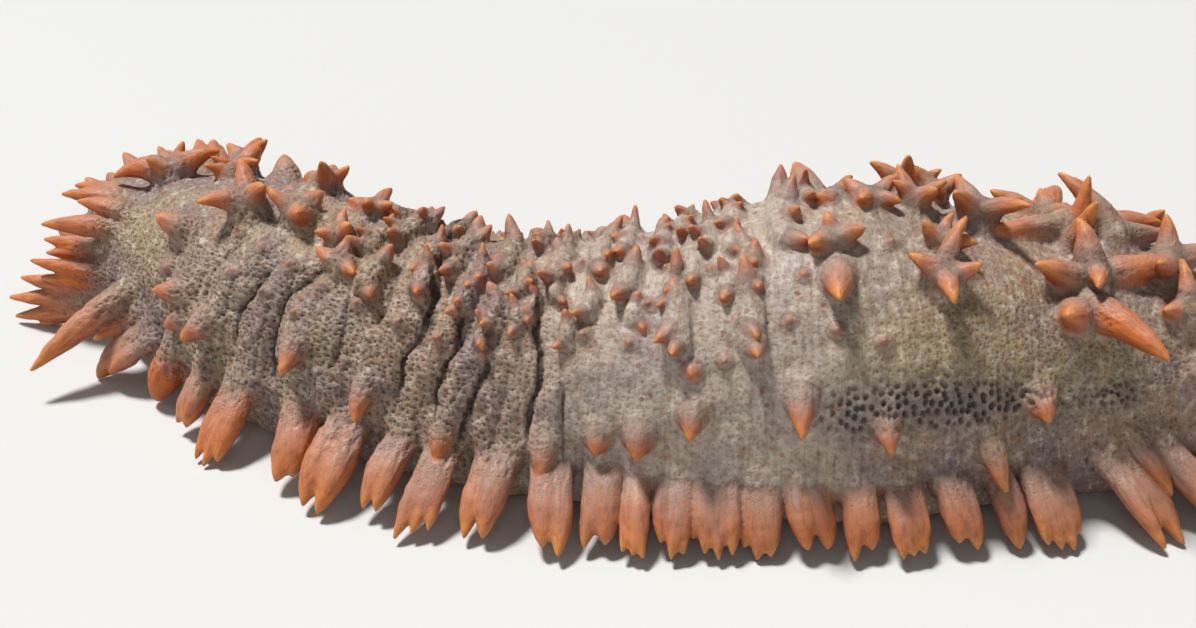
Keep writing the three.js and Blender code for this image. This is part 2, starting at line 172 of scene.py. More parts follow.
# %% [markdown]
# ## Repeatable randomness
# Living skin is uneven, and yet the script must make the same animal each run. A hash of whole
# numbers gives a random value to each point of a lattice, and blending between the points gives
# a smooth noise. `scatter` and `jitter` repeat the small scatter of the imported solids. A key
# times a whole number of its own gives each measure of a papilla its own draw.
# %% Noise
AXIS_PRIMES = np.array([73856093, 19349663, 83492791], np.uint32)
SEED_PRIME, MIX_PRIME = 2654435761, np.uint32(1274126177)
SCATTER_TURN, SCATTER_START, SCATTER_SIZE = 12.9898, 4.1414, 43758.5453


def lattice_random(cells, seed):
    """A number from 0 to 1 for each row of whole numbers."""
    mixed = cells.astype(np.uint32) * AXIS_PRIMES
    key = mixed[..., 0] ^ mixed[..., 1] ^ mixed[..., 2] ^ np.uint32(seed * SEED_PRIME % 2 ** 32)
    for shift in (16, 13):
        key = (key ^ (key >> np.uint32(shift))) * MIX_PRIME
    return ((key >> np.uint32(8)) & np.uint32(0xFFFF)) / 0xFFFF


def noise(points, size, seed):
    """Smooth noise from -1 to 1 that changes over about `size` millimetres."""
    scaled = points / size
    cell = np.floor(scaled)
    part = scaled - cell
    part = part * part * (3 - 2 * part)
    total = 0
    for corner in itertools.product((0, 1), repeat=3):
        weight = np.prod(np.where(np.array(corner), part, 1 - part), -1)
        total = total + weight * lattice_random((cell + corner).astype(np.int64), seed)
    return 2 * total - 1


def scatter(key):
    """A number from 0 to 1."""
    return math.modf(math.sin(key * SCATTER_TURN + SCATTER_START) * SCATTER_SIZE)[0] % 1


def jitter(key):
    """A number from -1 to 1."""
    return 2 * scatter(key) - 1


print("scatter of the keys 0, 1 and 2:", [round(scatter(key), 3) for key in range(3)])

# %% [markdown]
# ## Folds in the body wall
# Where the animal bends it folds: deep creases run down the flank and the wall bulges between
# them. Each crease is a short line of places and angles. They could be sculpted by hand, but a
# distance to each line gives the groove and the softer dip beside it with one formula, and the
# share of the line lets both fade towards its ends.
# %% Creases
ARC_PER_DEGREE = 0.85
CREASES = [
    (3.4, [(183, 84), (180, 68), (172, 48), (171, 24), (168, 2)]),
    (2.6, [(163, 62), (160, 50), (156, 36), (155, 14)]),
    (1.8, [(190, 62), (194, 44), (193, 18)]),
    (3.4, [(211, 104), (216, 88), (219, 70), (218, 50), (215, 30), (211, 8)]),
    (2.8, [(230, 74), (230, 52), (228, 28), (223, 4)]),
    (2.6, [(240, 58), (240, 36), (236, 14), (233, -4)]),
    (3.4, [(249, 86), (251, 70), (254, 48), (255, 28), (254, -2)]),
    (1.8, [(262, 34), (264, 12), (265, -12)]),
    (1.6, [(204, 84), (206, 62), (203, 40)]),
    (1.5, [(146, 70), (140, 44), (141, 26)]),
    (1.3, [(246, 40), (245, 16), (243, -2)]),
    (1.2, [(285, -2), (283, -16)]),
]
FAR_CREASE_SHIFT, CREASE_SEED = 6, 200
GROOVE_WIDTH, DIP_WIDTH, DIP_SHARE = 0.75, 5, 0.65
CREASE_TAPER, FOLD_REACH = 0.2, 22
WOBBLE, WOBBLE_SIZE = 1.6, 9


def line_distance(place, angle, line):
    """Distance over the skin to a line of places and angles, and the share of the line there."""
    spots = np.array(line, float) * (1, ARC_PER_DEGREE)
    here = np.stack([place, angle * ARC_PER_DEGREE], -1)
    legs = np.diff(spots, axis=0)
    lengths = np.linalg.norm(legs, axis=1)
    reached = np.concatenate([[0], np.cumsum(lengths)])
    nearest = np.full(np.shape(place), np.inf)
    share = np.zeros(np.shape(place))
    for start, leg, length, before in zip(spots, legs, lengths, reached):
        part = np.clip((here - start) @ leg / length ** 2, 0, 1)
        distance = np.linalg.norm(here - start - part[..., None] * leg, axis=-1)
        closer = distance < nearest
        nearest = np.where(closer, distance, nearest)
        share = np.where(closer, (before + part * length) / reached[-1], share)
    return nearest, share


def folds(place, angle):
    """How deep the grooves and how low the dips are beside them, in millimetres."""
    groove = np.zeros(np.shape(place))
    dip = np.zeros(np.shape(place))
    flat = np.stack([place, angle * ARC_PER_DEGREE, 0 * place], -1)
    wobbled = place + WOBBLE * noise(flat, WOBBLE_SIZE, seed=5)
    for index, (depth, line) in enumerate(CREASES):
        shift = FAR_CREASE_SHIFT * jitter(index + CREASE_SEED)
        for side in (line, [(p + shift, 180 - a) for p, a in line]):
            places = [p for p, _ in side]
            near = (wobbled > min(places) - FOLD_REACH) & (wobbled < max(places) + FOLD_REACH)
            distance, share = line_distance(wobbled[near], angle[near], side)
            ends = smoothstep(0, CREASE_TAPER, share) * smoothstep(0, CREASE_TAPER, 1 - share)
            deep = depth * ends * np.exp(-((distance / GROOVE_WIDTH) ** 2))
            low = depth * np.sqrt(ends) * DIP_SHARE * np.exp(-((distance / DIP_WIDTH) ** 2))
            groove[near] = np.maximum(groove[near], deep)
            dip[near] = np.maximum(dip[near], low)
    return groove, dip


print("creases on each flank:", len(CREASES))

# %% [markdown]
# ## The body surface
# A grid of rows along the body and columns round it is pushed in and out along its normals:
# broad lumps, smaller ones, wrinkles that run round the body where it bends, and the folds. It
# is closed at both ends.
# %% Body surface
ROWS, COLUMNS = 640, 430
LUMP, LUMP_SIZE = 1.4, 32
KNOLL, KNOLL_SIZE, LOW_KNOLL, LOW_KNOLL_SIZE = 0.7, 12, 1.5, 9
WRINKLE, WRINKLE_ALONG, WRINKLE_AROUND = 0.95, 4.2, 26
WRINKLED_FROM, WRINKLED_TO, WRINKLE_FADE, WRINKLE_ELSEWHERE = 140, 262, 14, 0.4
LOW_DOWN, SOLE_EDGE = (12, 34), (-60, -20)
END_CROWDING = 0.6


def between(value, low, high, fade):
    """1 from low to high and 0 outside, with a soft edge."""
    above_high = smoothstep(high - fade, high + fade, value)
    return smoothstep(low - fade, low + fade, value) * (1 - above_high)


row_share = np.linspace(0, 1, ROWS)
row_crowded = row_share - END_CROWDING * np.sin(2 * np.pi * row_share) / (2 * np.pi)
row_place = HEAD_START + (LENGTH - HEAD_START) * row_crowded
column_angle = np.arange(COLUMNS) * 360 / COLUMNS
grid_place, grid_angle = np.meshgrid(row_place, column_angle, indexing="ij")
signed_angle = (grid_angle + 90) % 360 - 90
from_edge = 90 - np.abs(signed_angle - 90)
body_grid = skin_point(grid_place, grid_angle)
towards_tail = np.gradient(body_grid, axis=0)
up_round = np.roll(body_grid, -1, 1) - np.roll(body_grid, 1, 1)
body_normal = unit(np.cross(towards_tail, up_round))

groove, dip = folds(grid_place, signed_angle)
lie = np.stack([grid_place, signed_angle * ARC_PER_DEGREE, 0 * grid_place], -1)
lumps = LUMP * noise(body_grid, LUMP_SIZE, seed=1) + KNOLL * noise(body_grid, KNOLL_SIZE, seed=6)
low_down = 1 - smoothstep(*LOW_DOWN, from_edge)
lumps = lumps + LOW_KNOLL * low_down * noise(body_grid, LOW_KNOLL_SIZE, seed=7)
bent = between(grid_place, WRINKLED_FROM, WRINKLED_TO, WRINKLE_FADE)
wrinkles = noise(lie / (WRINKLE_ALONG, WRINKLE_AROUND, 1), 1, seed=2)
wrinkles = WRINKLE * (WRINKLE_ELSEWHERE + (1 - WRINKLE_ELSEWHERE) * bent) * wrinkles
relief = lumps + wrinkles - groove - dip
relief = relief * smoothstep(*SOLE_EDGE, from_edge) * round_ends(grid_place)
body_grid = body_grid + body_normal * relief[..., None]
print("relief from", round(relief.min(), 1), "to", round(relief.max(), 1), "mm")

ring = np.arange(COLUMNS)
quads = []
for row in range(1, ROWS - 2):
    here, there = row * COLUMNS + ring, (row + 1) * COLUMNS + ring
    quads.append(np.stack([here, there, np.roll(there, -1), np.roll(here, -1)], -1))
quads = np.concatenate(quads)
head_tip, tail_tip = ROWS * COLUMNS, ROWS * COLUMNS + 1
first, last = COLUMNS + ring, (ROWS - 2) * COLUMNS + ring
caps = np.concatenate([
    np.stack([np.full(COLUMNS, head_tip), first, np.roll(first, -1)], -1),
    np.stack([np.full(COLUMNS, tail_tip), np.roll(last, -1), last], -1),
])
body_points = np.concatenate([body_grid.reshape(-1, 3), body_grid[0, :1], body_grid[-1, :1]])

# %% [markdown]
# ## Where the papillae grow
# The tables say where each papilla grows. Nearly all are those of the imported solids. The fringe
# lies along both edges of the sole, single fingers grow from the flanks, and stars of lobes from
# the back.
# %% Papilla tables
# Fringe: place, width, length, fingers, aim from straight out, plus towards the tail
FRINGE = [
    (112, 20, 27, 3, -46), (127, 8, 18, 1, -30), (143, 12, 23, 2, 0), (158, 16, 26, 3, 2),
    (182, 14, 28, 2, 14), (199, 14, 33, 2, -4), (215, 11, 31, 2, -6), (229, 14, 34, 3, -6),
    (242, 7, 29, 1, -5), (248, 8, 31, 1, -8), (261, 13, 32, 2, 10), (275, 13, 27, 2, 4),
    (286, 11, 28, 3, 4), (297, 12, 26, 3, 4), (309, 17, 23, 4, 2), (322, 14, 21, 3, 2),
    (335, 14, 23, 2, 24), (351, 12, 21, 2, 8), (366, 14, 23, 3, 4), (382, 12, 23, 2, 10),
    (398, 8, 24, 1, 10), (414, 20, 27, 4, 6), (439, 18, 34, 4, 30), (458, 16, 31, 3, 38),
    (476, 13, 28, 2, 50), (492, 11, 22, 2, 66),
]
# Flank: place, angle, length, radius, tilt from the normal, aim (0 tail, 90 up, 180 head), tips
FLANK = [
    (97, 14, 48, 8, 34, 263, 1), (77, 10, 34, 6, 48, 185, 2), (70, -2, 42, 7, 40, 190, 3),
    (62, -12, 42, 6, 36, 205, 2), (66, -13, 29, 5, 32, 235, 1), (68, 22, 26, 5, 42, 195, 2),
    (104, 6, 26, 5, 55, 215, 2), (74, 66, 31, 6, 62, 210, 2), (80, 57, 24, 5, 60, 205, 1),
    (78, 44, 32, 6, 50, 210, 1), (121, 60, 16, 7, 42, 200, 1), (143, 22, 13, 5.5, 42, 250, 1),
    (130, 30, 13, 5, 58, 192, 1), (131, 19, 9, 4.5, 45, 240, 1), (179, 30, 17, 5.5, 60, 284, 1),
    (203, 18, 15, 5, 60, 280, 1), (228, 8, 14, 5, 58, 275, 1), (249, 3, 14, 4.5, 55, 262, 1),
    (258, 8, 17, 5, 60, 276, 1), (274, 14, 10, 5, 55, 270, 1), (286, 16, 13, 6, 52, 270, 1),
    (301, 24, 14, 4.5, 60, 270, 1), (301, 36, 5, 3, 10, 270, 1), (333, 29, 19, 5.5, 66, 268, 1),
    (346, 67, 23, 6.5, 62, 262, 1), (359, 19, 14, 5, 60, 275, 1), (394, 11, 20, 5, 60, 282, 1),
    (411, 24, 12, 6, 45, 270, 1), (427, 54, 16, 7, 56, 200, 1), (431, 60, 36, 8, 60, 300, 1),
    (448, 6, 24, 5.5, 50, 298, 1), (470, 32, 27, 7, 45, 310, 1), (434, 92, 26, 5, 14, 90, 1),
    (437, 74, 31, 7, 72, 4, 1), (430, 70, 24, 6, 72, 186, 1),
]
# Stars: place, angle, reach, fingers, turn
STARS = [
    (80, 89, 18, 4, 120), (96, 117, 17, 4, 190), (106, 103, 14, 3, 230), (137, 81, 16, 3, 230),
    (146, 115, 14, 4, 190), (157, 87, 15, 3, 215), (178, 83, 11, 3, 225), (177, 105, 11, 4, 5),
    (189, 87, 8, 3, 190), (186, 68, 10, 3, 195), (197, 67, 12, 2, 70), (198, 102, 10, 4, 80),
    (212, 85, 9, 2, 130), (215, 71, 11, 2, 140), (222, 91, 10, 4, 220), (231, 78, 8, 3, 160),
    (230, 65, 7, 3, 170), (240, 60, 7, 3, 150), (238, 48, 5, 3, 150), (239, 90, 9, 4, 130),
    (247, 76, 6, 3, 120), (247, 58, 5, 2, 130), (252, 64, 5, 3, 140), (249, 106, 9, 3, 180),
    (257, 88, 9, 4, 130), (258, 71, 5, 2, 40), (270, 65, 8, 2, 150), (264, 52, 6, 2, 60),
    (272, 92, 10, 3, 120), (280, 103, 9, 4, 85), (292, 91, 9, 3, 130), (299, 102, 9, 3, 265),
    (307, 92, 9, 3, 100), (316, 105, 9, 3, 10), (315, 86, 8, 2, 95), (282, 75, 10, 2, 95),
    (283, 60, 6, 2, 105), (301, 79, 10, 3, 135), (295, 71, 7, 3, 350), (298, 58, 11, 4, 160),
    (320, 74, 10, 3, 120), (312, 68, 7, 2, 100), (318, 57, 12, 4, 350), (332, 96, 13, 4, 150),
    (343, 111, 10, 3, 220), (352, 101, 10, 2, 190), (345, 78, 12, 3, 90), (363, 97, 12, 4, 125),
    (378, 96, 13, 4, 195), (382, 78, 11, 3, 60), (379, 63, 17, 4, 5), (388, 114, 13, 4, 0),
    (399, 93, 20, 4, 10), (430, 94, 24, 2, 8), (448, 95, 24, 2, 348), (433, 72, 17, 2, 95),
    (463, 82, 19, 3, 250), (466, 58, 15, 3, 195),
]
# Rings round the two ends: place, length, radius, aim
END_RINGS = [(50, 19, 5.5, 180), (36, 11, 4.5, 180), (486, 32, 6.5, 0), (506, 20, 5, 0)]
END_RING_ANGLES, END_RING_FORKED = (14, 52, 90, 128, 166), (1, 2, 1, 2, 1)
END_RING_TILT = 48
FAR_FLANK_LENGTH, FAR_STAR_LIMIT, FAR_STAR_SHARE = 13, 74, 0.8
PLACE_SPREAD, STAR_PLACE_SPREAD, RING_ANGLE_SPREAD, AIM_SPREAD = 3, 4, 6, 14
RING_LENGTH_SPREAD, FRINGE_LENGTH_SPREAD, FLANK_LENGTH_SPREAD = 0.15, 0.08, 0.1
SEED = {"far_fringe": 30, "far_fringe_place": 40, "far_fringe_length": 60, "far_star": 70,
        "far_flank_place": 80, "far_flank_length": 90, "end_ring": 300}
print("rows for the fringe, a flank and the back:", len(FRINGE), len(FLANK), len(STARS))

# %% [markdown]
# ## One finger of flesh
# A finger is a bent spine with a thickness at each step, so it can droop, taper and end in a
# soft point. Fingers that share a root are kept together as a group, so that the flesh between
# them can melt into one palm before the palm melts into the body.
# %% Fingers
FINGER_SINK, FLOOR_CLEARANCE, TIP_RADIUS = 2.5, 2, 0.7
SPINE_STEPS, STEP_LENGTH = 6, 6
HEAD_ORANGE, HEAD_ORANGE_SPAN = 0.8, (90, 230)


def leaning(directions, tilt, aim):
    """A direction tilted from the skin's normal and aimed along or up the skin."""
    _, along, up, out = directions
    tilt, aim = math.radians(tilt), math.radians(aim)
    sideways = math.cos(aim) * along + math.sin(aim) * up
    return unit(math.cos(tilt) * out + math.sin(tilt) * sideways)


def above_floor(root, direction, length):
    """The direction, raised where needed so that the tip stays clear of the floor."""
    lowest = (FLOOR_CLEARANCE - root[2]) / length
    if direction[2] >= lowest:
        return direction
    level = unit(direction * (1, 1, 0)) * math.sqrt(1 - lowest ** 2)
    return level + np.array((0, 0, lowest))


def make_finger(root, tip, radius, lift, build, blush, tint=0.0):
    """A bent spine from root to tip. `lift` is how the middle stands off the straight line.

    `build` is the share that stays full, and the two powers of the taper after it. `blush` is
    where on the spine the colour sets in and where it is full.
    """
    belly, bend, point = build
    steps = SPINE_STEPS + int(np.linalg.norm(tip - root) / STEP_LENGTH)
    share = np.linspace(0, 1, steps + 1)[:, None]
    middle = (root + tip) / 2 + lift
    spine = (1 - share) ** 2 * root + 2 * share * (1 - share) * middle + share ** 2 * tip
    taper = np.clip((share[:, 0] - belly) / (1 - belly), 0, 1)
    thick = radius * np.maximum(0, 1 - taper ** bend) ** point + TIP_RADIUS
    return {"spine": spine, "thick": thick, "blush": blush, "tint": tint, "axis": unit(tip - root)}


def headward(place):
    """How much more orange the papillae are towards the head."""
    return HEAD_ORANGE * (1 - smoothstep(*HEAD_ORANGE_SPAN, place))


groups = []


def add_group(fingers, melt_inside, melt_body):
    groups.append({"fingers": fingers, "inside": melt_inside, "body": melt_body})


# %% [markdown]
# ## The fringe
# Along the edge of the sole the papillae are broad paws of one to four fingers, fused for most
# of their length, so that only short tips stay apart. Fingers side by side leave the shallow
# grooves between them, and each paw starts on its own.
# %% Fringe paws
FRINGE_TIP_HEIGHT, FRINGE_TIP_SPREAD, FRINGE_STEEPEST = 3, 2, 0.9
FRINGE_OUTER_SHORTER, FRINGE_UNEVEN = 0.05, 0.15
FRINGE_FOOT, FRINGE_FAN, FRINGE_FAN_SPREAD = 0.6, 0.92, 0.2
FRINGE_FULLNESS, FRINGE_THICKNESS, FRINGE_THICKNESS_SPREAD = 0.57, 9, 0.25
FRINGE_PAD, THICKEST_PAD, FRINGE_PAD_RISE = 0.42, 6.5, 3
FRINGE_LIFT, FRINGE_LIFT_SPREAD, FRINGE_SWAY = 0.12, 0.06, 0.08
FRINGE_BUILD, FRINGE_BLUSH, FRINGE_TINT = (0.55, 1.6, 0.87), (0.0, 1.05), 0.6
FRINGE_MELT = (2.6, 4)
PAD_BUILD, PAD_OUT = (0.6, 2, 0.5), 0.5
# A finger with this blush stays in the colour of the skin
NO_BLUSH = (2, 3)


def add_paw(row, key, far):
    place, width, length, count, aim = row
    directions = skin_frame(place, 180 if far else 0)
    root, along, _, out = directions
    aim = math.radians(aim)
    level = unit((math.cos(aim) * unit(out * (1, 1, 0)) + math.sin(aim) * along) * (1, 1, 0))
    tip_height = FRINGE_TIP_HEIGHT + FRINGE_TIP_SPREAD * scatter(key * 7)
    drop = min(FRINGE_STEEPEST, (root[2] - tip_height) / length)
    direction = level * math.sqrt(1 - drop ** 2) - np.array((0, 0, drop))
    across = unit(np.cross(direction, (0, 0, 1)))
    upright = np.cross(across, direction)
    spacing = width / count
    radius = min(FRINGE_THICKNESS / 2, spacing * FRINGE_FULLNESS)
    fan = FRINGE_FAN + FRINGE_FAN_SPREAD * jitter(key * 17)
    fingers = []
    for tip in range(count):
        offset = tip - (count - 1) / 2
        uneven = FRINGE_UNEVEN * jitter(key * 5 + tip) - FRINGE_OUTER_SHORTER * abs(offset)
        foot = root + across * offset * spacing * FRINGE_FOOT - direction * FINGER_SINK * 2
        end = root + across * offset * spacing * fan
        end = end + direction * (length * (1 + uneven) - TIP_RADIUS)
        lift = upright * length * (FRINGE_LIFT + FRINGE_LIFT_SPREAD * jitter(key * 3 + tip))
        lift = lift + across * length * FRINGE_SWAY * jitter(key * 31 + tip)
        thick = radius * (1 + FRINGE_THICKNESS_SPREAD * jitter(key * 29 + tip))
        tint = FRINGE_TINT * jitter(key) + headward(place)
        fingers.append(make_finger(foot, end, thick, lift, FRINGE_BUILD, FRINGE_BLUSH, tint))
    pad = min(width * FRINGE_PAD, THICKEST_PAD)
    foot = root - out * pad + directions[2] * FRINGE_PAD_RISE
    fingers.append(make_finger(foot, foot + out * pad * PAD_OUT, pad, 0, PAD_BUILD, NO_BLUSH))
    add_group(fingers, *FRINGE_MELT)


for index, row in enumerate(FRINGE):
    place, width, length, count, aim = row
    add_paw(row, index, False)
    far_place = place + PLACE_SPREAD * jitter(index + SEED["far_fringe_place"])
    far_length = length * (1 + FRINGE_LENGTH_SPREAD * jitter(index + SEED["far_fringe_length"]))
    add_paw((far_place, width, far_length, count, aim), index + SEED["far_fringe"], True)
print("paws:", len(groups))

# %% [markdown]
# ## Fingers of the flanks and ends
# These leave the skin along its normal and then bend over, as a soft finger does under its own
# weight. The short ones stand off the body, so that each throws a small shadow. Round the head
# the long ones split into two or three tips.
# %% Flank fingers
BEND_OUT, FORK_SPREAD, FORK_SHORTER, FORK_RADIUS = 0.13, 0.2, 0.12, 0.85
SHORT_FINGER, LONG_FINGER, SHORT_UPRIGHT = 16, 34, 0.78
SHORT_SLIMMER, LONG_SLIMMER, SHORT_BELLY, LONG_BELLY = 0.82, 0.66, 0.15, 0.3
FINGER_TAPER, FLANK_BLUSH, FLANK_TINT = (1.3, 0.85), (0.12, 0.9), 0.5
FLANK_MELT = (1.8, 4.5)
RING_KEYS = (0, 0.3, 0.6, 0.9)


def add_single(row, far, key):
    place, angle, length, radius, tilt, aim, tips = row
    directions = skin_frame(place, 180 - angle if far else angle)
    out = directions[3]
    root = directions[0] - out * FINGER_SINK
    slender = smoothstep(SHORT_FINGER, LONG_FINGER, length)
    tilt = tilt * (SHORT_UPRIGHT + (1 - SHORT_UPRIGHT) * slender)
    direction = above_floor(root, leaning(directions, tilt, -aim if far else aim), length)
    side = unit(np.cross(direction, out))
    thick = radius * (SHORT_SLIMMER + (LONG_SLIMMER - SHORT_SLIMMER) * slender)
    thick = thick * (FORK_RADIUS if tips > 1 else 1)
    build = (SHORT_BELLY + (LONG_BELLY - SHORT_BELLY) * slender, *FINGER_TAPER)
    lift = (out - direction * (out @ direction)) * length * BEND_OUT
    tint = slender + FLANK_TINT * jitter(key)
    blush = (FLANK_BLUSH[0] * (1 - slender), FLANK_BLUSH[1])
    fingers = []
    for fork in range(tips):
        offset = fork - (tips - 1) / 2
        reach = length * (1 - FORK_SHORTER * abs(offset) * (1 + jitter(key + fork)))
        tip = root + direction * (reach - TIP_RADIUS) + side * offset * FORK_SPREAD * length
        foot = root + side * offset * thick
        fingers.append(make_finger(foot, tip, thick, lift, build, blush, tint))
    add_group(fingers, *FLANK_MELT)


for index, (place, angle, length, radius, tilt, aim, tips) in enumerate(FLANK):
    add_single((place, angle, length, radius, tilt, aim, tips), False, index)
    if length > FAR_FLANK_LENGTH:
        far_place = place + PLACE_SPREAD * jitter(index + SEED["far_flank_place"])
        far_length = length * (1 + FLANK_LENGTH_SPREAD * jitter(index + SEED["far_flank_length"]))
        add_single((far_place, angle, far_length, radius, tilt, aim, tips), True, index + 0.5)

key = SEED["end_ring"]
for place, length, radius, aim in END_RINGS:
    for angle, forked in zip(END_RING_ANGLES, END_RING_FORKED):
        moved, turned, stretched, aimed = (jitter(key + extra) for extra in RING_KEYS)
        tips = forked if length > FAR_FLANK_LENGTH else 1
        add_single((place + PLACE_SPREAD * moved, angle + RING_ANGLE_SPREAD * turned,
                    length * (1 + RING_LENGTH_SPREAD * stretched), radius, END_RING_TILT,
                    aim + AIM_SPREAD * aimed, tips), False, key)
        key += 1
print("groups with the flank fingers:", len(groups))

# %% [markdown]
# ## Stars of the back
# Towards both ends of the back two to four pointed lobes spread from one low mound, like the
# arms of a star. Each lobe is a finger again, thick at the hub and bent its own way, and a ball
# of flesh under them makes the mound. No two lobes are alike, or it would look cut from a mould.
# The largest two-lobed stars near the tail lie down as two long strips.
# %% Stars
STAR_LEAN, STAR_TILT_SPREAD, STAR_AIM_SPREAD = 58, 20, 26
STRIP_LEAN, STRIP_LONGER, STRIP_LIFT, STRIP_REACH = 74, 1.3, 0.12, 20
STAR_SHORTEST, STAR_LENGTH_SPREAD = 0.8, 0.46
STAR_HUB, STAR_HUB_SINK = 0.24, 2
LOBE_RADIUS, THICKEST_LOBE, LOBE_RADIUS_SPREAD = {2: 0.3, 3: 0.3, 4: 0.27}, 4, 0.25
LOBE_LIFT, LOBE_LIFT_SPREAD, LOBE_SWAY = 0.1, 0.18, 0.14
MOUND_RADIUS, LARGEST_MOUND, MOUND_SINK, MOUND_TOP = 0.42, 6.5, 2, 0.12
LOBE_BUILD, LOBE_BLUSH, LOBE_TINT = (0.12, 1.3, 0.85), (0.18, 0.85), 0.4
MOUND_BUILD = (0.5, 2, 0.5)
STAR_MELT_INSIDE, STAR_MELT_BODY = (0.5, 0.09), (2.5, 0.13)


def add_star(row, key):
    place, angle, reach, count, turn = row
    directions = skin_frame(place, angle)
    root, _, _, out = directions
    hub = root + out * (reach * STAR_HUB - STAR_HUB_SINK)
    strip = count == 2 and reach > STRIP_REACH
    lean = STRIP_LEAN if strip else STAR_LEAN
    fingers = []
    for lobe in range(count):
        tilt = lean + STAR_TILT_SPREAD * jitter(key * 11 + lobe)
        aim = turn + 360 * lobe / count + STAR_AIM_SPREAD * jitter(key * 9 + lobe)
        direction = leaning(directions, tilt, aim)
        length = reach * (STAR_SHORTEST + STAR_LENGTH_SPREAD * scatter(key * 13 + lobe))
        length = length * (STRIP_LONGER if strip else 1)
        rise = LOBE_LIFT + LOBE_LIFT_SPREAD * jitter(key * 19 + lobe) + STRIP_LIFT * strip
        lift = (out - direction * (out @ direction)) * rise * length
        sway = length * LOBE_SWAY * jitter(key * 37 + lobe)
        lift = lift + unit(np.cross(direction, out)) * sway
        radius = min(reach * LOBE_RADIUS[count], THICKEST_LOBE)
        radius = radius * (1 + LOBE_RADIUS_SPREAD * jitter(key * 23 + lobe))
        tip = hub + direction * (length - TIP_RADIUS)
        tint = LOBE_TINT * jitter(key * 2 + lobe) + headward(place)
        fingers.append(make_finger(hub, tip, radius, lift, LOBE_BUILD, LOBE_BLUSH, tint))
    mound_radius = min(reach * MOUND_RADIUS, LARGEST_MOUND)
    foot, top = root - out * MOUND_SINK, root + out * reach * MOUND_TOP
    fingers.append(make_finger(foot, top, mound_radius, 0, MOUND_BUILD, NO_BLUSH))
    inside, body = (base + share * reach for base, share in (STAR_MELT_INSIDE, STAR_MELT_BODY))
    add_group(fingers, inside, body)


# %% [markdown]
# ## Ribs with knobs
# In the middle of the back the stars shrink to upright ribs of skin that carry a row of short
# red-brown knobs. The lowest knob hangs and the topmost one points up.
# %% Ribs
RIBS_FROM, RIBS_TO = 186, 345
RIB_PITCH, RIB_SIDE, RIB_RADIUS, RIB_SINK, KNOB_RISE = 0.6, 0.16, 0.34, -0.3, 0.16
KNOB_LENGTH, KNOB_LENGTH_SPREAD = 0.7, 0.25
KNOB_RADIUS, SLIMMEST_KNOB, KNOB_RADIUS_SPREAD = 0.27, 1.7, 0.25
KNOB_TILT, KNOB_TILT_SPREAD, KNOB_AIM_SPREAD = 50, 20, 50
KNOB_TIP_OUT, KNOB_TINT, KNOB_REDDER = 1, 0.6, 0.3
KNOB_BUILD, KNOB_BLUSH = (0.1, 1.3, 0.85), (0.25, 1.15)
RIB_BUILD, RIB_MELT = (0.6, 2, 0.6), (1.8, 2.4)
AIM_UP, AIM_DOWN = 90, 270


def add_rib(row, key):
    place, angle, reach, count, _ = row
    knobs = max(count, 2)
    fingers, ends = [], []
    for knob in range(knobs):
        offset = knob - (knobs - 1) / 2
        here = place + reach * RIB_SIDE * jitter(key * 41 + knob)
        directions = skin_frame(here, angle + offset * reach * RIB_PITCH / ARC_PER_DEGREE)
        root, _, _, out = directions
        ends.append(root - out * RIB_SINK)
        tilt = KNOB_TILT + KNOB_TILT_SPREAD * jitter(key * 47 + knob)
        aim = (AIM_UP if offset > 0 else AIM_DOWN) + KNOB_AIM_SPREAD * jitter(key * 43 + knob)
        direction = leaning(directions, tilt, aim)
        length = reach * (KNOB_LENGTH + KNOB_LENGTH_SPREAD * jitter(key * 53 + knob)) + FINGER_SINK
        radius = max(SLIMMEST_KNOB, reach * KNOB_RADIUS)
        radius = radius * (1 + KNOB_RADIUS_SPREAD * jitter(key * 59 + knob))
        foot = root + out * (reach * KNOB_RISE - FINGER_SINK)
        tip = foot + direction * length + out * KNOB_TIP_OUT
        tint = KNOB_TINT * jitter(key + knob) - KNOB_REDDER
        fingers.append(make_finger(foot, tip, radius, 0, KNOB_BUILD, KNOB_BLUSH, tint))
    fingers.append(make_finger(ends[0], ends[-1], reach * RIB_RADIUS, out, RIB_BUILD, NO_BLUSH))
    add_group(fingers, *RIB_MELT)


for index, (place, angle, reach, count, turn) in enumerate(STARS):
    add_back_piece = add_rib if RIBS_FROM < place < RIBS_TO else add_star
    add_back_piece((place, angle, reach, count, turn), index)
    if angle < FAR_STAR_LIMIT:
        far_place = place + STAR_PLACE_SPREAD * jitter(index)
        far_row = (far_place, 180 - angle, reach * FAR_STAR_SHARE, count, -turn)
        add_back_piece(far_row, index + SEED["far_star"])
print("groups with the stars and ribs:", len(groups))

# %% [markdown]
# ## Warts
# Between the stars the back carries small soft warts with a red-brown top. They are too small
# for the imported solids. Golden-ratio steps spread them evenly without a visible pattern, and one
# that would land on a star is left out.
# %% Warts
WARTS, WART_RADIUS, WART_RADIUS_SPREAD, WART_RISE = 80, 1.1, 0.8, 1.3
WART_FROM, WART_TO, WART_LOWEST, WART_HIGHEST = 120, 372, 38, 142
WART_STEPS = (0.6180340, 0.7548777)
WART_BUILD, WART_BLUSH, WART_MELT = (0, 1.1, 1), (0.5, 1.1), (1, 3.6)
STAR_CLEARANCE, WART_TINT = 0.7, -0.8

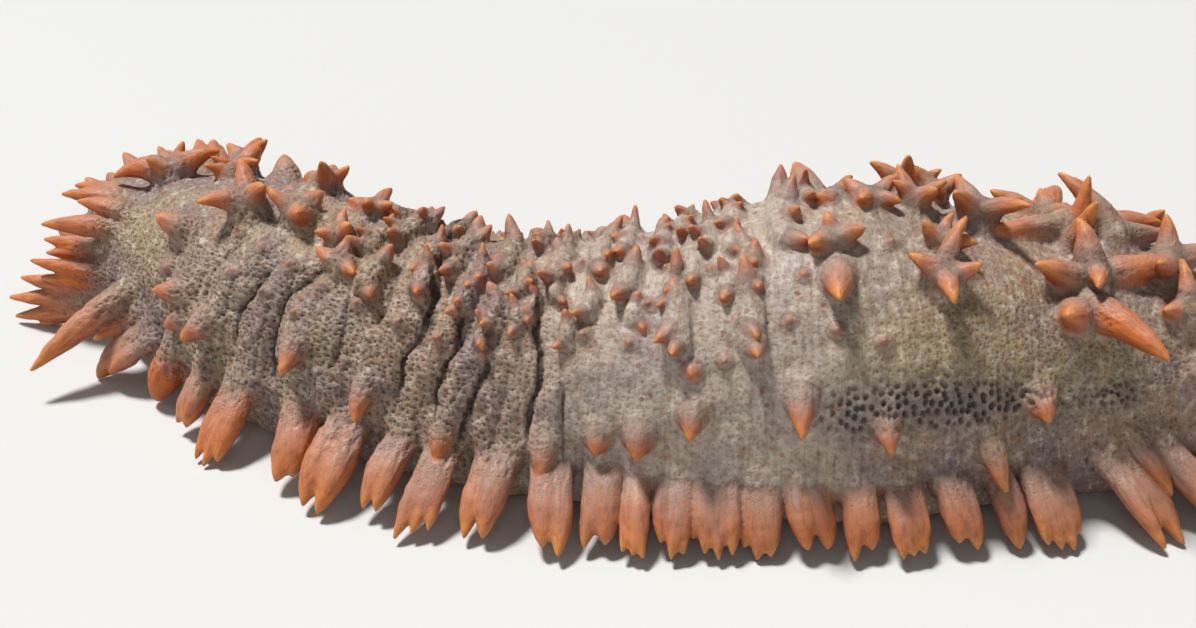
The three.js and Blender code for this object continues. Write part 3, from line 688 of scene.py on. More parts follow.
warts = 0
for key in range(WARTS):
    place = WART_FROM + (WART_TO - WART_FROM) * (key * WART_STEPS[0] % 1)
    angle = WART_LOWEST + (WART_HIGHEST - WART_LOWEST) * (key * WART_STEPS[1] % 1)
    gaps = [math.hypot(place - p, (angle - a) * ARC_PER_DEGREE) / r for p, a, r, _, _ in STARS]
    if min(gaps) < STAR_CLEARANCE:
        continue
    root, _, _, out = skin_frame(place, angle)
    radius = WART_RADIUS + WART_RADIUS_SPREAD * scatter(key + 0.5)
    tip = root + out * WART_RISE * (1 + scatter(key))
    foot = root - out * radius
    add_group([make_finger(foot, tip, radius, 0, WART_BUILD, WART_BLUSH, WART_TINT)], *WART_MELT)
    warts += 1
print("warts:", warts, "groups in all:", len(groups))
print("fingers in all:", sum(len(group["fingers"]) for group in groups))

# %% [markdown]
# ## Melting it all into one skin
# Blender could join these shapes with booleans or metaballs, but booleans leave hard edges and
# metaballs swell. A volume of distances to the surface does it best: the body becomes such a
# volume, and each group is blended with it by a soft minimum that leaves a fillet of flesh. Two
# groups that meet keep a crease between them, as two soft things that are pressed together do.
# %% Body volume
VOXEL = 0.7
BAND_MM, PAD = 9, 8
STEEPEST_CONE, MELT_REACH = 0.9, 1.4

to_world = openvdb.createLinearTransform(voxelSize=VOXEL)
body_volume = openvdb.FloatGrid.createLevelSetFromPolygons(
    body_points.astype(np.float32), triangles=caps.astype(np.uint32),
    quads=quads.astype(np.uint32), transform=to_world, halfWidth=BAND_MM / VOXEL)
spines = np.concatenate([f["spine"] for g in groups for f in g["fingers"]])
lowest = np.floor((np.minimum(body_points.min(0), spines.min(0)) - PAD) / VOXEL).astype(int)
highest = np.ceil((np.maximum(body_points.max(0), spines.max(0)) + PAD) / VOXEL).astype(int)
body_field = np.zeros(highest - lowest + 1, np.float32)
body_volume.copyToArray(body_field, ijk=tuple(int(v) for v in lowest))
print("volume of", body_field.shape, "voxels, from", body_field.min(), "to", body_field.max(), "mm")


def soft_minimum(one, other, melt):
    near = np.maximum(melt - np.abs(one - other), 0)
    return np.minimum(one, other) - near * near / (4 * melt)


def finger_distance(points, finger):
    """Distances from the points to each cone of a finger, and the share of the spine there."""
    distances, shares = [], []
    spine, thick = finger["spine"].astype(np.float32), finger["thick"].astype(np.float32)
    steps = len(spine) - 1
    for step in range(steps):
        leg = spine[step + 1] - spine[step]
        length = np.linalg.norm(leg)
        slope = np.clip((thick[step + 1] - thick[step]) / length, -STEEPEST_CONE, STEEPEST_CONE)
        from_start = points - spine[step]
        level = from_start @ (leg / length)
        aside = np.sqrt(np.maximum(np.einsum("ij,ij->i", from_start, from_start) - level ** 2, 0))
        foot = np.clip(level + aside * slope / np.sqrt(1 - slope ** 2), 0, length)
        distances.append(np.hypot(aside, level - foot) - thick[step] - slope * foot)
        shares.append((step + foot / length) / steps)
    return np.stack(distances), np.stack(shares)


# %% [markdown]
# Only a small window of the volume is worked on at a time, because a papilla changes nothing
# further away. That takes seconds where the whole volume would take hours.
# %% Blend the papillae in
field = body_field.copy()


def window_between(low, high):
    """The part of the volume between two corners in mm, and the places of its voxels."""
    first = np.maximum(np.floor(low / VOXEL).astype(int) - lowest, 0)
    last = np.minimum(np.ceil(high / VOXEL).astype(int) - lowest, np.array(field.shape) - 1)
    axes = [(np.arange(a, b + 1) + o) * VOXEL for a, b, o in zip(first, last, lowest)]
    places = np.stack(np.meshgrid(*axes, indexing="ij"), -1).reshape(-1, 3)
    return tuple(slice(a, b + 1) for a, b in zip(first, last)), places.astype(np.float32)


for group in groups:
    spines = np.concatenate([f["spine"] for f in group["fingers"]])
    margin = max(f["thick"].max() for f in group["fingers"]) + MELT_REACH * group["body"]
    window, points = window_between(spines.min(0) - margin, spines.max(0) + margin)
    flesh = None
    for finger in group["fingers"]:
        distance = finger_distance(points, finger)[0].min(0)
        flesh = distance if flesh is None else soft_minimum(flesh, distance, group["inside"])
    grown = soft_minimum(body_field[window], flesh.reshape(body_field[window].shape), group["body"])
    field[window] = np.minimum(field[window], grown)
print("share of the volume inside the skin:", round(float((field < 0).mean()), 3))

# %% [markdown]
# ## The vent and the floor
# The vent is a dimple with a soft rim in the middle of the tail end. It is dug out with the same
# round cones, turned inside out. Then the floor cuts the volume flat, because the animal lies on
# its sole, and the volume is turned back into a mesh.
# %% Vent, floor and mesh
VENT_RADIUS, VENT_DEPTH, VENT_OUT, VENT_MELT = 4.2, 7, 3, 4
VENT_BUILD, VENT_WINDOW = (0.2, 1.2, 1), 24

mouth = np.array((*centre(LENGTH), WAIST + WAIST_RISE))
inward = -np.array((*ahead(LENGTH), 0))
vent = make_finger(mouth - inward * VENT_OUT, mouth + inward * VENT_DEPTH, VENT_RADIUS, 0,
                   VENT_BUILD, NO_BLUSH)
window, points = window_between(mouth - VENT_WINDOW, mouth + VENT_WINDOW)
hollow = finger_distance(points, vent)[0].min(0).reshape(field[window].shape)
field[window] = -soft_minimum(-field[window], hollow, VENT_MELT)

floor_height = (np.arange(field.shape[2]) + lowest[2]) * VOXEL
field = np.maximum(field, -floor_height[None, None, :].astype(np.float32))

skin_volume = openvdb.FloatGrid(BAND_MM)
skin_volume.transform = to_world
skin_volume.copyFromArray(np.clip(field, -BAND_MM, BAND_MM), ijk=tuple(int(v) for v in lowest))
points, triangles, faces = skin_volume.convertToPolygons(isovalue=0.0, adaptivity=0.0)
points, faces = points.astype(float), faces.astype(np.int64)
print("skin of", len(points), "points,", len(triangles), "triangles and", len(faces), "quads")

# %% [markdown]
# ## The skin's coordinates
# Colour and fine texture follow the animal and not the room, so each point of the skin is told
# where on the body it is, how far up a papilla it is, and how deep in a fold. These numbers are
# kept on the mesh as attributes, which the material reads.
# %% Where each point is
POINT_CHUNK, SAMPLE_STEP, LEAST_ROUNDING = 40000, 1.0, 0.2


def body_place(spots):
    """How far along the body the points are, and how far across it, in millimetres."""
    samples = np.arange(0, LENGTH, SAMPLE_STEP)
    middles, forwards = centre(samples), ahead(samples)
    place, across = np.empty(len(spots)), np.empty(len(spots))
    for begin in range(0, len(spots), POINT_CHUNK):
        part = spots[begin:begin + POINT_CHUNK, :2]
        square = (part ** 2).sum(1)[:, None] - 2 * part @ middles.T + (middles ** 2).sum(1)
        index = square.argmin(1)
        gap = part - middles[index]
        forward = forwards[index]
        place[begin:begin + len(part)] = samples[index] + (gap * forward).sum(1)
        across[begin:begin + len(part)] = gap[:, 0] * forward[:, 1] - gap[:, 1] * forward[:, 0]
    return place, across


def skin_angle(place, across, height):
    """The angle round the body that skin_point would need to point that way."""
    rounding = np.maximum(round_ends(place), LEAST_ROUNDING)
    waist = WAIST + WAIST_RISE * (1 - rounding)
    wide = HALF_WIDTH * girth(place) * rounding
    over = np.maximum(height - waist, 0) / ((HEIGHT * girth(place) - waist) * rounding)
    beneath = np.maximum(waist - height, 0) / (BELLY_DEPTH * waist * rounding)
    power = np.where(height >= waist, BACK_POWER / 2, BELLY_POWER / 2)
    sine = over ** (BACK_POWER / 2) - beneath ** (BELLY_POWER / 2)
    cosine = np.sign(across) * (np.abs(across) / wide) ** power
    angle = np.degrees(np.arctan2(sine, cosine))
    return np.where(angle < -90, angle + 360, angle)


place, across = body_place(points)
angle = skin_angle(place, across, points[:, 2])
lie = np.stack([place, angle * ARC_PER_DEGREE, 0 * place], -1)
groove, dip = folds(place, angle)
print("places from", round(place.min(), 1), "to", round(place.max(), 1), "mm")

# %% [markdown]
# Near a bend or a fork several cones are almost as near, so their shares are averaged by how
# near each is. That keeps the colour from changing in steps. The finger that a point mostly
# belongs to is kept too, because the map for baking needs it.
# %% How far up a papilla
FULL_TOUCH, TOUCH, NEARLY, DEEPEST = 0.3, 2.5, 0.5, -1
TIP_FROM, ON_PAPILLA = 0.72, (0.3, 0.65)
ROOT_SHARE, LEAST_ISLAND = 0.12, 6


def mean_share(distances, shares):
    near = np.exp((distances.min(0) - distances) / NEARLY)
    return (near * shares).sum(0) / near.sum(0)


weights = np.full(len(points), TINY)
totals = {name: np.zeros(len(points)) for name in ("reach", "blush", "tip", "tint")}
axes = np.zeros(points.shape)
touched = np.zeros(len(points))
strongest, owner, islands = np.zeros(len(points)), np.full(len(points), -1), []
for group in groups:
    spines = np.concatenate([f["spine"] for f in group["fingers"]])
    margin = max(f["thick"].max() for f in group["fingers"]) + TOUCH
    inside = np.all((points > spines.min(0) - margin) & (points < spines.max(0) + margin), 1)
    chosen = np.flatnonzero(inside)
    for finger in group["fingers"]:
        distances, shares = finger_distance(points[chosen].astype(np.float32), finger)
        nearest, share = distances.min(0), mean_share(distances, shares)
        touch = 1 - smoothstep(FULL_TOUCH, TOUCH, nearest)
        weight = touch * np.exp(-np.maximum(nearest, DEEPEST) / NEARLY)
        weights[chosen] += weight
        axes[chosen] += weight[:, None] * finger["axis"]
        touched[chosen] = np.maximum(touched[chosen], touch)
        number = -1
        length = np.linalg.norm(finger["spine"][-1] - finger["spine"][0])
        if finger["blush"] != NO_BLUSH and length > LEAST_ISLAND:
            number = len(islands)
            islands.append({"finger": finger, "length": length})
        wins = weight > strongest[chosen]
        strongest[chosen[wins]] = weight[wins]
        owner[chosen[wins]] = np.where(share[wins] > ROOT_SHARE, number, -1)
        if finger["blush"] == NO_BLUSH:
            continue
        totals["reach"][chosen] += weight * share
        totals["blush"][chosen] += weight * smoothstep(*finger["blush"], share)
        totals["tip"][chosen] += weight * smoothstep(TIP_FROM, 1, share)
        totals["tint"][chosen] += weight * finger["tint"]
reach, blush, tip, tint = (totals[name] / weights * touched for name in totals)
on_papilla = smoothstep(*ON_PAPILLA, reach)
print("points on papillae:", int((on_papilla > 0.5).sum()), "of", len(points))

# %% [markdown]
# The flesh has a grain: fine streaks run round the body and lengthwise on each papilla. So the
# position is squeezed along that direction, and a noise that reads it comes out drawn out.
# %% Grain of the flesh
GRAIN_SQUEEZE = 0.84

grain_axis = unit(axes)
around_body = np.stack([place, lie[:, 1] * (1 - GRAIN_SQUEEZE), 0 * place], -1)
on_finger = points - grain_axis * (points * grain_axis).sum(1, keepdims=True) * GRAIN_SQUEEZE
flow = np.where(reach[:, None] > ROOT_SHARE, on_finger, around_body)
print("points with a papilla's grain:", int((reach > ROOT_SHARE).sum()))

# %% [markdown]
# ## The mesh
# The points and faces come straight from the volume. Blender then gives the normals, which the
# fine relief is pushed along.
# %% Mesh of the skin


def mesh_from(name, spots, all_quads):
    """A smooth mesh from points in millimetres and quads."""
    data = bpy.data.meshes.new(name)
    data.vertices.add(len(spots))
    data.vertices.foreach_set("co", (spots * MM).astype(np.float32).ravel())
    data.loops.add(4 * len(all_quads))
    data.loops.foreach_set("vertex_index", all_quads.astype(np.int32).ravel())
    data.polygons.add(len(all_quads))
    data.polygons.foreach_set("loop_start", np.arange(0, 4 * len(all_quads), 4, dtype=np.int32))
    data.update(calc_edges=True)
    data.shade_smooth()
    return data


def signed_volume(spots, all_quads):
    a, b, c, d = (spots[all_quads[:, k]] for k in range(4))
    halves = np.cross(a, b) * c, np.cross(a, c) * d
    return sum(half.sum() for half in halves) / 6


if signed_volume(points, faces) < 0:
    faces = faces[:, ::-1]
skin_data = mesh_from("skin", points, faces)
normals = np.empty(3 * len(points), np.float32)
skin_data.vertex_normals.foreach_get("vector", normals)
normals = normals.reshape(-1, 3).astype(float)
print("volume of the skin:", round(signed_volume(points, faces) * 1e-6, 2), "litres")

# %% [markdown]
# ## Zones of the skin
# The front is coarse, the middle almost smooth and the rear in between. A band of large pits
# runs low along the rear flank, with a yellow patch over it and another on the head, and the
# sole lies underneath. Each zone is a soft mask from 0 to 1 over places and angles.
# %% Zones
COARSE_FRONT, COARSE_REAR, SMOOTH_TOP = (225, 280), (335, 385), (55, 80)
ROUGH_MIDDLE, ROUGHER_FRONT, ROUGHER_REAR, SMOOTHER_TOP = 0.35, 0.65, 0.25, 0.3
BAND_ANGLE, BAND_HALF, BAND_PLACE, BAND_FULL = 22, 7.5, (342, 446, 10), 1.3
BAND_WAVER, BAND_WAVER_SIZE, BAND_GAP_SIZE, BAND_GAPS = 3, 20, 18, (-1.0, 0.2)
YELLOW_REAR, YELLOW_REAR_PLACE, YELLOW_HEAD = (34, 17), (335, 450, 16), ((98, 20), (48, 20))
FACING_DOWN, NEAR_FLOOR, SOLE_RIM = (0.25, 0.75), (6, 14), (0.62, 0.72)
TRUNK = (70, 470, 12)


def hill(value, top, half):
    return np.exp(-(((value - top) / half) ** 2))


coarse_front = 1 - smoothstep(*COARSE_FRONT, place)
coarse_rear = smoothstep(*COARSE_REAR, place)
near_angle = np.where(angle > 90, 180 - angle, angle)
rough = ROUGH_MIDDLE + ROUGHER_FRONT * coarse_front + ROUGHER_REAR * coarse_rear
rough = rough * (1 - SMOOTHER_TOP * smoothstep(*SMOOTH_TOP, near_angle))
waver = BAND_WAVER * noise(points, BAND_WAVER_SIZE, seed=22)
band = hill(near_angle - BAND_ANGLE, waver, BAND_HALF) * between(place, *BAND_PLACE)
band = band * smoothstep(*BAND_GAPS, noise(points, BAND_GAP_SIZE, seed=21))
gold = hill(near_angle, *YELLOW_REAR) * between(place, *YELLOW_REAR_PLACE)
gold = gold + hill(place, *YELLOW_HEAD[0]) * hill(near_angle, *YELLOW_HEAD[1])

under = smoothstep(*FACING_DOWN, -normals[:, 2]) * (1 - smoothstep(*NEAR_FLOOR, points[:, 2]))
sole = under * (1 - smoothstep(*SOLE_RIM, np.abs(across) / (HALF_WIDTH * girth(place))))
bare = (1 - on_papilla) * (1 - under)
on_trunk = between(place, *TRUNK)
print("points on the sole:", int((sole > 0.5).sum()))

# %% [markdown]
# ## Fine relief
# The skin is a felt of soft granules with small pits between them, about two millimetres apart,
# with meandering wrinkles where it is coarse. The pits are a scatter of spots: over the rolled
# out trunk, so that all are cut through their middles, and in space at the round ends, where
# the rolled out sheet would squeeze them.
# %% Pits and granules
PIT_SPACING, PIT_DEPTH, PIT_EDGE = 2.1, 0.7, (0.08, 0.38)
BAND_SPACING, BAND_DEPTH, BAND_EDGE = 2.6, 1.1, (0.2, 0.44)
GRANULE_SIZE, GRANULE_HEIGHT = 2.4, 0.3
MEANDER_SIZE, MEANDER_DEPTH, MEANDER_EDGE = 5.5, 0.35, 0.1
PUCKER_SIZE, PUCKER_DEPTH = 7, 0.45
SPOT_FROM, SPOT_ROOM = 0.1, 0.8


def spot_distance(spots, size, seed, flat=False):
    """Distance to the nearest of a scatter of points, as a share of their spacing.

    The points are strewn in space, or over the first two coordinates if `flat` is set.
    """
    scaled = spots / size
    cell = np.floor(scaled)
    nearest = np.full(len(spots), np.inf)
    for corner in itertools.product((-1, 0, 1), (-1, 0, 1), (0,) if flat else (-1, 0, 1)):
        whole = (cell + corner).astype(np.int64)
        offsets = [SPOT_FROM + SPOT_ROOM * lattice_random(whole, seed + k) for k in range(3)]
        gap = scaled - cell - corner - np.stack(offsets, -1)
        if flat:
            gap[:, 2] = 0
        nearest = np.minimum(nearest, np.einsum("ij,ij->i", gap, gap))
    return np.sqrt(nearest)


pit_gap = spot_distance(lie, PIT_SPACING, seed=31, flat=True) * on_trunk
pit_gap = pit_gap + spot_distance(points, PIT_SPACING, seed=31) * (1 - on_trunk)
pit = (1 - smoothstep(*PIT_EDGE, pit_gap)) * (1 - band)
band_gap = spot_distance(lie, BAND_SPACING, seed=41, flat=True)
band_pit = np.clip(BAND_FULL * band, 0, 1) * (1 - smoothstep(*BAND_EDGE, band_gap))
meander = 1 - smoothstep(0, MEANDER_EDGE, np.abs(noise(points, MEANDER_SIZE, seed=51)))
meander = meander * rough * coarse_front
granules = GRANULE_HEIGHT * noise(points, GRANULE_SIZE, seed=61) * rough
pucker = PUCKER_DEPTH * noise(points, PUCKER_SIZE, seed=12)
dug = PIT_DEPTH * pit * rough + BAND_DEPTH * band_pit + MEANDER_DEPTH * meander

# %% [markdown]
# The papillae are only a little uneven, with a grain lengthwise, and their tips are smooth. All
# relief fades out where the animal stands on the floor.
# %% Relief of the whole skin
UNEVEN, UNEVEN_SIZE = 0.35, 4
PAPILLA_GRAIN, GRAIN_WIDTH, SKIN_GRAIN, SMOOTH_TIP = 0.2, 1.4, 0.22, 0.7
OFF_FLOOR = (0.2, 2.0)

grain = noise(flow, GRAIN_WIDTH, seed=14)
offset = (granules + pucker - dug + SKIN_GRAIN * grain) * bare
uneven = UNEVEN * noise(points, UNEVEN_SIZE, seed=13) + PAPILLA_GRAIN * grain
offset = offset + uneven * on_papilla * (1 - SMOOTH_TIP * tip)
offset = offset * smoothstep(*OFF_FLOOR, points[:, 2])
print("fine relief from", round(offset.min(), 2), "to", round(offset.max(), 2), "mm")

# %% [markdown]
# ## Tube feet
# The sole is covered with short tube feet that end in small discs. They stand on the floor, so
# the skin between them is lifted a little instead of the feet being made longer.
# %% Tube feet
FOOT_SPACING, FOOT_RISE, FOOT_EDGE = 2.6, 1.3, (0.26, 0.44)
FOOT_WANDER, FOOT_WANDER_SIZE = 0.35, 6

foot_spots = np.stack([place, across, 0 * place], -1)
foot_spots = foot_spots + FOOT_WANDER * noise(points, FOOT_WANDER_SIZE, seed=71)[:, None]
rows = np.round(foot_spots[:, 0] / FOOT_SPACING)
columns = foot_spots[:, 1] / FOOT_SPACING - 0.5 * (rows % 2)
column_gap = columns - np.round(columns)
row_gap = foot_spots[:, 0] / FOOT_SPACING - rows
foot = (1 - smoothstep(*FOOT_EDGE, np.hypot(row_gap, column_gap))) * sole
points = points + normals * offset[:, None]
points[:, 2] += FOOT_RISE * (sole - foot)
skin_data.vertices.foreach_set("co", (points * MM).astype(np.float32).ravel())
skin_data.update()
print("points on tube feet:", int((foot > 0.5).sum()))

# %% [markdown]
# The material needs all of this again, so each mask becomes an attribute of the mesh. The
# hollow of the vent gets the same painted shade as a fold.
# %% Keep the numbers on the mesh
FOLD_SHADE_FULL, DIP_SHADE, VENT_SHADE = 3, 0.12, (3, 8)
PIT_SHADE, BAND_PIT_SHADE, MEANDER_SHADE, PALE_MIDDLE = 0.7, 1.2, 0.3, (258, 350, 26)

from_vent = np.linalg.norm(points - mouth, axis=1)
# Painted shade: the grooves and dips of the folds are darkened by their depth, and so is the vent's
# hollow.
painted_fold_shade = np.clip((groove + DIP_SHADE * dip) / FOLD_SHADE_FULL, 0, 1) * bare
# Painted shade: the pits, the large pits of the band and the meandering wrinkles are darkened where
# they are dug.
painted_pit_shade = PIT_SHADE * pit * rough + BAND_PIT_SHADE * band_pit + MEANDER_SHADE * meander
FLOATS = {
    "blush": blush, "tip": tip, "tint": tint, "reach": reach, "upward": normals[:, 2],
    "painted_fold_shade": np.maximum(painted_fold_shade, 1 - smoothstep(*VENT_SHADE, from_vent)), "sole": sole, "foot": foot,
    "rough": rough * bare, "pit": np.clip(painted_pit_shade, 0, 1) * bare, "band": band * bare,
    "gold": np.clip(gold, 0, 1) * bare, "pale": between(place, *PALE_MIDDLE) * bare,
}
for name, values in FLOATS.items():
    layer = skin_data.attributes.new(name, "FLOAT", "POINT")
    layer.data.foreach_set("value", values.astype(np.float32))
layer = skin_data.attributes.new("flow", "FLOAT_VECTOR", "POINT")
layer.data.foreach_set("vector", flow.astype(np.float32).ravel())
print("attributes:", *FLOATS, "flow")

# %% [markdown]
# ## A flat map of the skin
# A finish baked into a picture needs each face laid out flat. Blender's
# own unwrapping would cut this bumpy skin into thousands of scraps. Here the trunk is rolled out
# by place and angle, and each papilla becomes a disc with its tip in the middle. The discs stand
# in rows above the trunk's sheet. The disc is squeezed so that it has about the finger's area.
# %% Map for baking
MAP_GAP, LEAST_SQUEEZE, POLE, VENT_ISLAND = 1.2, 0.35, 0.995, 9
SLANTED = (0.3, 0.5, 0.8)


def rolled_out(place):
    """The way along the skin to a place, which is longer than the place where the ends round."""
    head = np.clip((HEAD_START + HEAD_ROUNDING - place) / HEAD_ROUNDING, 0, None)
    tail = np.clip((place - LENGTH + TAIL_ROUNDING) / TAIL_ROUNDING, 0, None)
    way = place
    for end, size, sign in ((head, HEAD_ROUNDING, -1), (tail, TAIL_ROUNDING, 1)):
        curved = np.arcsin(np.minimum(end, POLE)) + np.maximum(end - POLE, 0)
        way = way + sign * size * (curved - end)
    return way


owner[from_vent < VENT_ISLAND] = len(islands)
islands.append({"finger": vent, "length": VENT_DEPTH})
face_owner = owner[faces].max(1)
on_map = np.zeros((len(faces), 4, 2))

trunk_faces = np.flatnonzero(face_owner < 0)
corner_angle = angle[faces[trunk_faces]]
over_cut = corner_angle.max(1, keepdims=True) - corner_angle > 180
on_map[trunk_faces, :, 0] = rolled_out(place)[faces[trunk_faces]]
on_map[trunk_faces, :, 1] = (corner_angle + 360 * over_cut) * ARC_PER_DEGREE
on_map[trunk_faces] -= on_map[trunk_faces].reshape(-1, 2).min(0)
map_width, map_height = on_map[trunk_faces].reshape(-1, 2).max(0)

# %% Discs of the papillae
for number, island in enumerate(islands):
    finger, length = island["finger"], island["length"]
    island["faces"] = np.flatnonzero(face_owner == number)
    spots = points[faces[island["faces"]].ravel()]
    if not len(spots):
        island["size"] = 0
        continue
    share = mean_share(*finger_distance(spots.astype(np.float32), finger))
    steps = np.linspace(0, 1, len(finger["spine"]))
    feet = np.stack([np.interp(share, steps, line) for line in finger["spine"].T], -1)
    side = unit(np.cross(finger["axis"], SLANTED))
    other_side = np.cross(finger["axis"], side)
    gaps = spots - feet
    x, y = gaps @ side, gaps @ other_side
    from_tip = (1 - share) * length + np.minimum(np.hypot(x, y), TIP_RADIUS)
    if finger is vent:
        x, y = (spots - mouth) @ side, (spots - mouth) @ other_side
        from_tip = np.hypot(x, y) + VENT_DEPTH - (spots - mouth) @ inward
    squeeze = np.clip(np.sqrt(finger["thick"].max() / length), LEAST_SQUEEZE, 1)
    turned = np.arctan2(y, x)
    disc = np.stack([np.cos(turned), np.sin(turned)], -1) * (from_tip * squeeze)[:, None]
    disc = disc - disc.min(0)
    island["size"] = disc.max() + MAP_GAP
    on_map[island["faces"]] = disc.reshape(-1, 4, 2)

x, y, row_height = 0, map_height + MAP_GAP, 0
for island in sorted(islands, key=lambda island: -island["size"]):
    if x + island["size"] > map_width:
        x, y, row_height = 0, y + row_height, 0
    on_map[island["faces"]] += (x, y)
    x, row_height = x + island["size"], max(row_height, island["size"])
map_size = max(map_width, y + row_height) + MAP_GAP
flat_map = skin_data.uv_layers.new(name="OFBake")
flat_map.uv.foreach_set("vector", (on_map / map_size).astype(np.float32).ravel())
print("map of", round(map_size), "mm a side with", len(islands), "islands beside the trunk")

# %% Place the skin
skin = bpy.data.objects.new("skin", skin_data)
bpy.context.scene.collection.objects.link(skin)
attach(skin, "root")
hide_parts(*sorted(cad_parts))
print("the skin replaces", len(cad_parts), "nodes")

# %% [markdown]
# ## A node at a time
# Materials are graphs of nodes. One small function adds a node, sets its values and makes its
# links, so that each finish below reads as a list of what it is made from.
# %% Material helpers


def linear(code):
    """The linear colour of an sRGB hex value."""
    channels = [int(code[k:k + 2], 16) / 255 for k in (1, 3, 5)]
    bent = [c / 12.92 if c <= 0.04045 else ((c + 0.055) / 1.055) ** 2.4 for c in channels]
    return (*bent, 1)


def node(tree, kind, sockets=None, **settings):
    """Adds a node. Each socket, by name or number, gets a value or a link from another node."""
    made = tree.nodes.new(kind)
    for name, value in settings.items():
        setattr(made, name, value)
    for name, value in (sockets or {}).items():
        if isinstance(value, bpy.types.NodeSocket):
            tree.links.new(value, made.inputs[name])
        else:
            made.inputs[name].default_value = value
    return made


def new_material(name):
    made = bpy.data.materials.new(name)
    made.use_nodes = True
    made.node_tree.nodes.clear()
    return made, made.node_tree


# The numbers of a colour mix's sockets
SHARE, ONE, OTHER, MIXED = 0, 6, 7, 2
MIX, RANGE, MATH = "ShaderNodeMix", "ShaderNodeMapRange", "ShaderNodeMath"
NOISE, SPOTS = "ShaderNodeTexNoise", "ShaderNodeTexVoronoi"
SMOOTH, STRAIGHT = {"interpolation_type": "SMOOTHSTEP"}, {"interpolation_type": "LINEAR"}

# %% [markdown]
# ## Living skin
# The body wall is moist, thick and a little see-through. Its ground is tan with a lavender cast
# in some patches and yellow in others. The middle is paler, brown and cream mottles lie over it,
# and fine streaks run round the body. A model painter would lay such a skin in thin coats, and
# so does this material. A row for each coat says what it follows, where it starts and where it
# is full, how much it covers there, its colour and its edge.
# %% Skin: ground colour
GROUND = "#A08772"
PATCH, YELLOW_PATCH, MOTTLE, STREAK = 26, 38, 3.2, 1.3
YELLOW_SLICE, STRAY_YELLOW, YELLOW_ZONES = 3.7, 0.4, 0.65

skin_look, tree = new_material("moist_pitted_flesh")
on_skin = {}
for name in FLOATS:
    on_skin[name] = node(tree, "ShaderNodeAttribute", attribute_name=name).outputs["Fac"]
flow_mm = node(tree, "ShaderNodeAttribute", attribute_name="flow").outputs["Vector"]
spot = node(tree, "ShaderNodeTexCoord").outputs["Object"]

patches = node(tree, NOISE, {"Vector": spot, "Scale": 1 / (PATCH * MM), "Detail": 3}).outputs[0]
yellowing = node(tree, NOISE, {"Vector": spot, "Scale": 1 / (YELLOW_PATCH * MM),
                                "W": YELLOW_SLICE}, noise_dimensions="4D").outputs[0]
stray = node(tree, RANGE, {"Value": yellowing, "From Min": 0.48, "From Max": 0.72,
                           "To Max": STRAY_YELLOW}, **SMOOTH).outputs[0]
yellow = node(tree, MATH, {0: on_skin["gold"], 1: YELLOW_ZONES, 2: stray},
              operation="MULTIPLY_ADD")
mottle = node(tree, NOISE, {"Vector": spot, "Scale": 1 / (MOTTLE * MM), "Detail": 4}).outputs[0]
streaks = node(tree, NOISE, {"Vector": flow_mm, "Scale": 1 / STREAK, "Detail": 3}).outputs[0]
skin_coats = [
    (patches, 0.4, 0.62, 1, "#8B7775", SMOOTH),
    (yellow.outputs[0], 0, 1, 1, "#A4956F", STRAIGHT),
    (on_skin["pale"], 0, 1, 0.55, "#C2B5A9", STRAIGHT),
    (mottle, 0.48, 0.3, 0.6, "#8F6C4A", SMOOTH),
    (mottle, 0.5, 0.7, 0.6, "#D0C1AC", SMOOTH),
    (streaks, 0.48, 0.72, 0.45, "#77655E", SMOOTH),
]

# %% [markdown]
# The pits get a painted shade, as little light comes out of them. Fine pits lie between the
# larger ones, and red-brown dots are strewn over the skin. The mesh has the large pits, and the
# fine ones, under a millimetre wide, are colour and bump. The folds get the darkest painted shade,
# and a papilla's root is a little browner than the skin round it.
# %% Skin: pits, dots and folds
FINE_PIT, RED_DOT = 1.5, 6
FINEST_SHARE, WHERE_ROUGH, ANYWHERE = 0.75, 0.6, 0.2

fine_pits = node(tree, SPOTS, {"Vector": spot, "Scale": 1 / (FINE_PIT * MM)}).outputs["Distance"]
share = node(tree, RANGE, {"Value": fine_pits, "From Min": 0.42, "From Max": 0.12,
                           "To Max": FINEST_SHARE}, **SMOOTH).outputs[0]
strength = node(tree, MATH, {0: on_skin["rough"], 1: WHERE_ROUGH, 2: ANYWHERE},
                operation="MULTIPLY_ADD")
pitted = node(tree, MATH, {0: share, 1: strength.outputs[0]}, operation="MULTIPLY").outputs[0]
dots = node(tree, SPOTS, {"Vector": spot, "Scale": 1 / (RED_DOT * MM)}).outputs["Distance"]
skin_coats += [
    # painted shade in the fine pits
    (pitted, 0, 1, 1, "#5F4A42", STRAIGHT),
    (on_skin["band"], 0, 1, 0.6, "#5E5A60", STRAIGHT),
    # painted shade in the pits and the meandering wrinkles
    (on_skin["pit"], 0, 1, 0.85, "#3C2F2B", STRAIGHT),
    (dots, 0.2, 0.1, 0.55, "#80432F", SMOOTH),
    # painted shade in the folds and the hollow of the vent
    (on_skin["painted_fold_shade"], 0.15, 0.8, 0.85, "#332925", SMOOTH),
    (on_skin["reach"], 0, 0.2, 0.5, "#907465", SMOOTH),
]

# %% [markdown]
# A papilla starts in the colour of the skin, turns dusty salmon and then orange, with a yellow
# tip. One colour ramp gives the run from root to tip, and a noise along the grain breaks its
# edges up. Coats go over it: each papilla leans a little to red or to orange, its upward side
# gets a greyer, paler painted top light, and its underside gets a dark red painted shade.
# %% Skin: papillae
FLESH_RAMP = [(0, "#9D8172"), (0.3, "#AB8471"), (0.6, "#B67B5E"), (0.85, "#C27548"), (1, "#D08546")]
FLESH_PATCH, BLUSH_WANDER, TOP_LIGHT_SHARE = 3.5, 0.7, 0.35

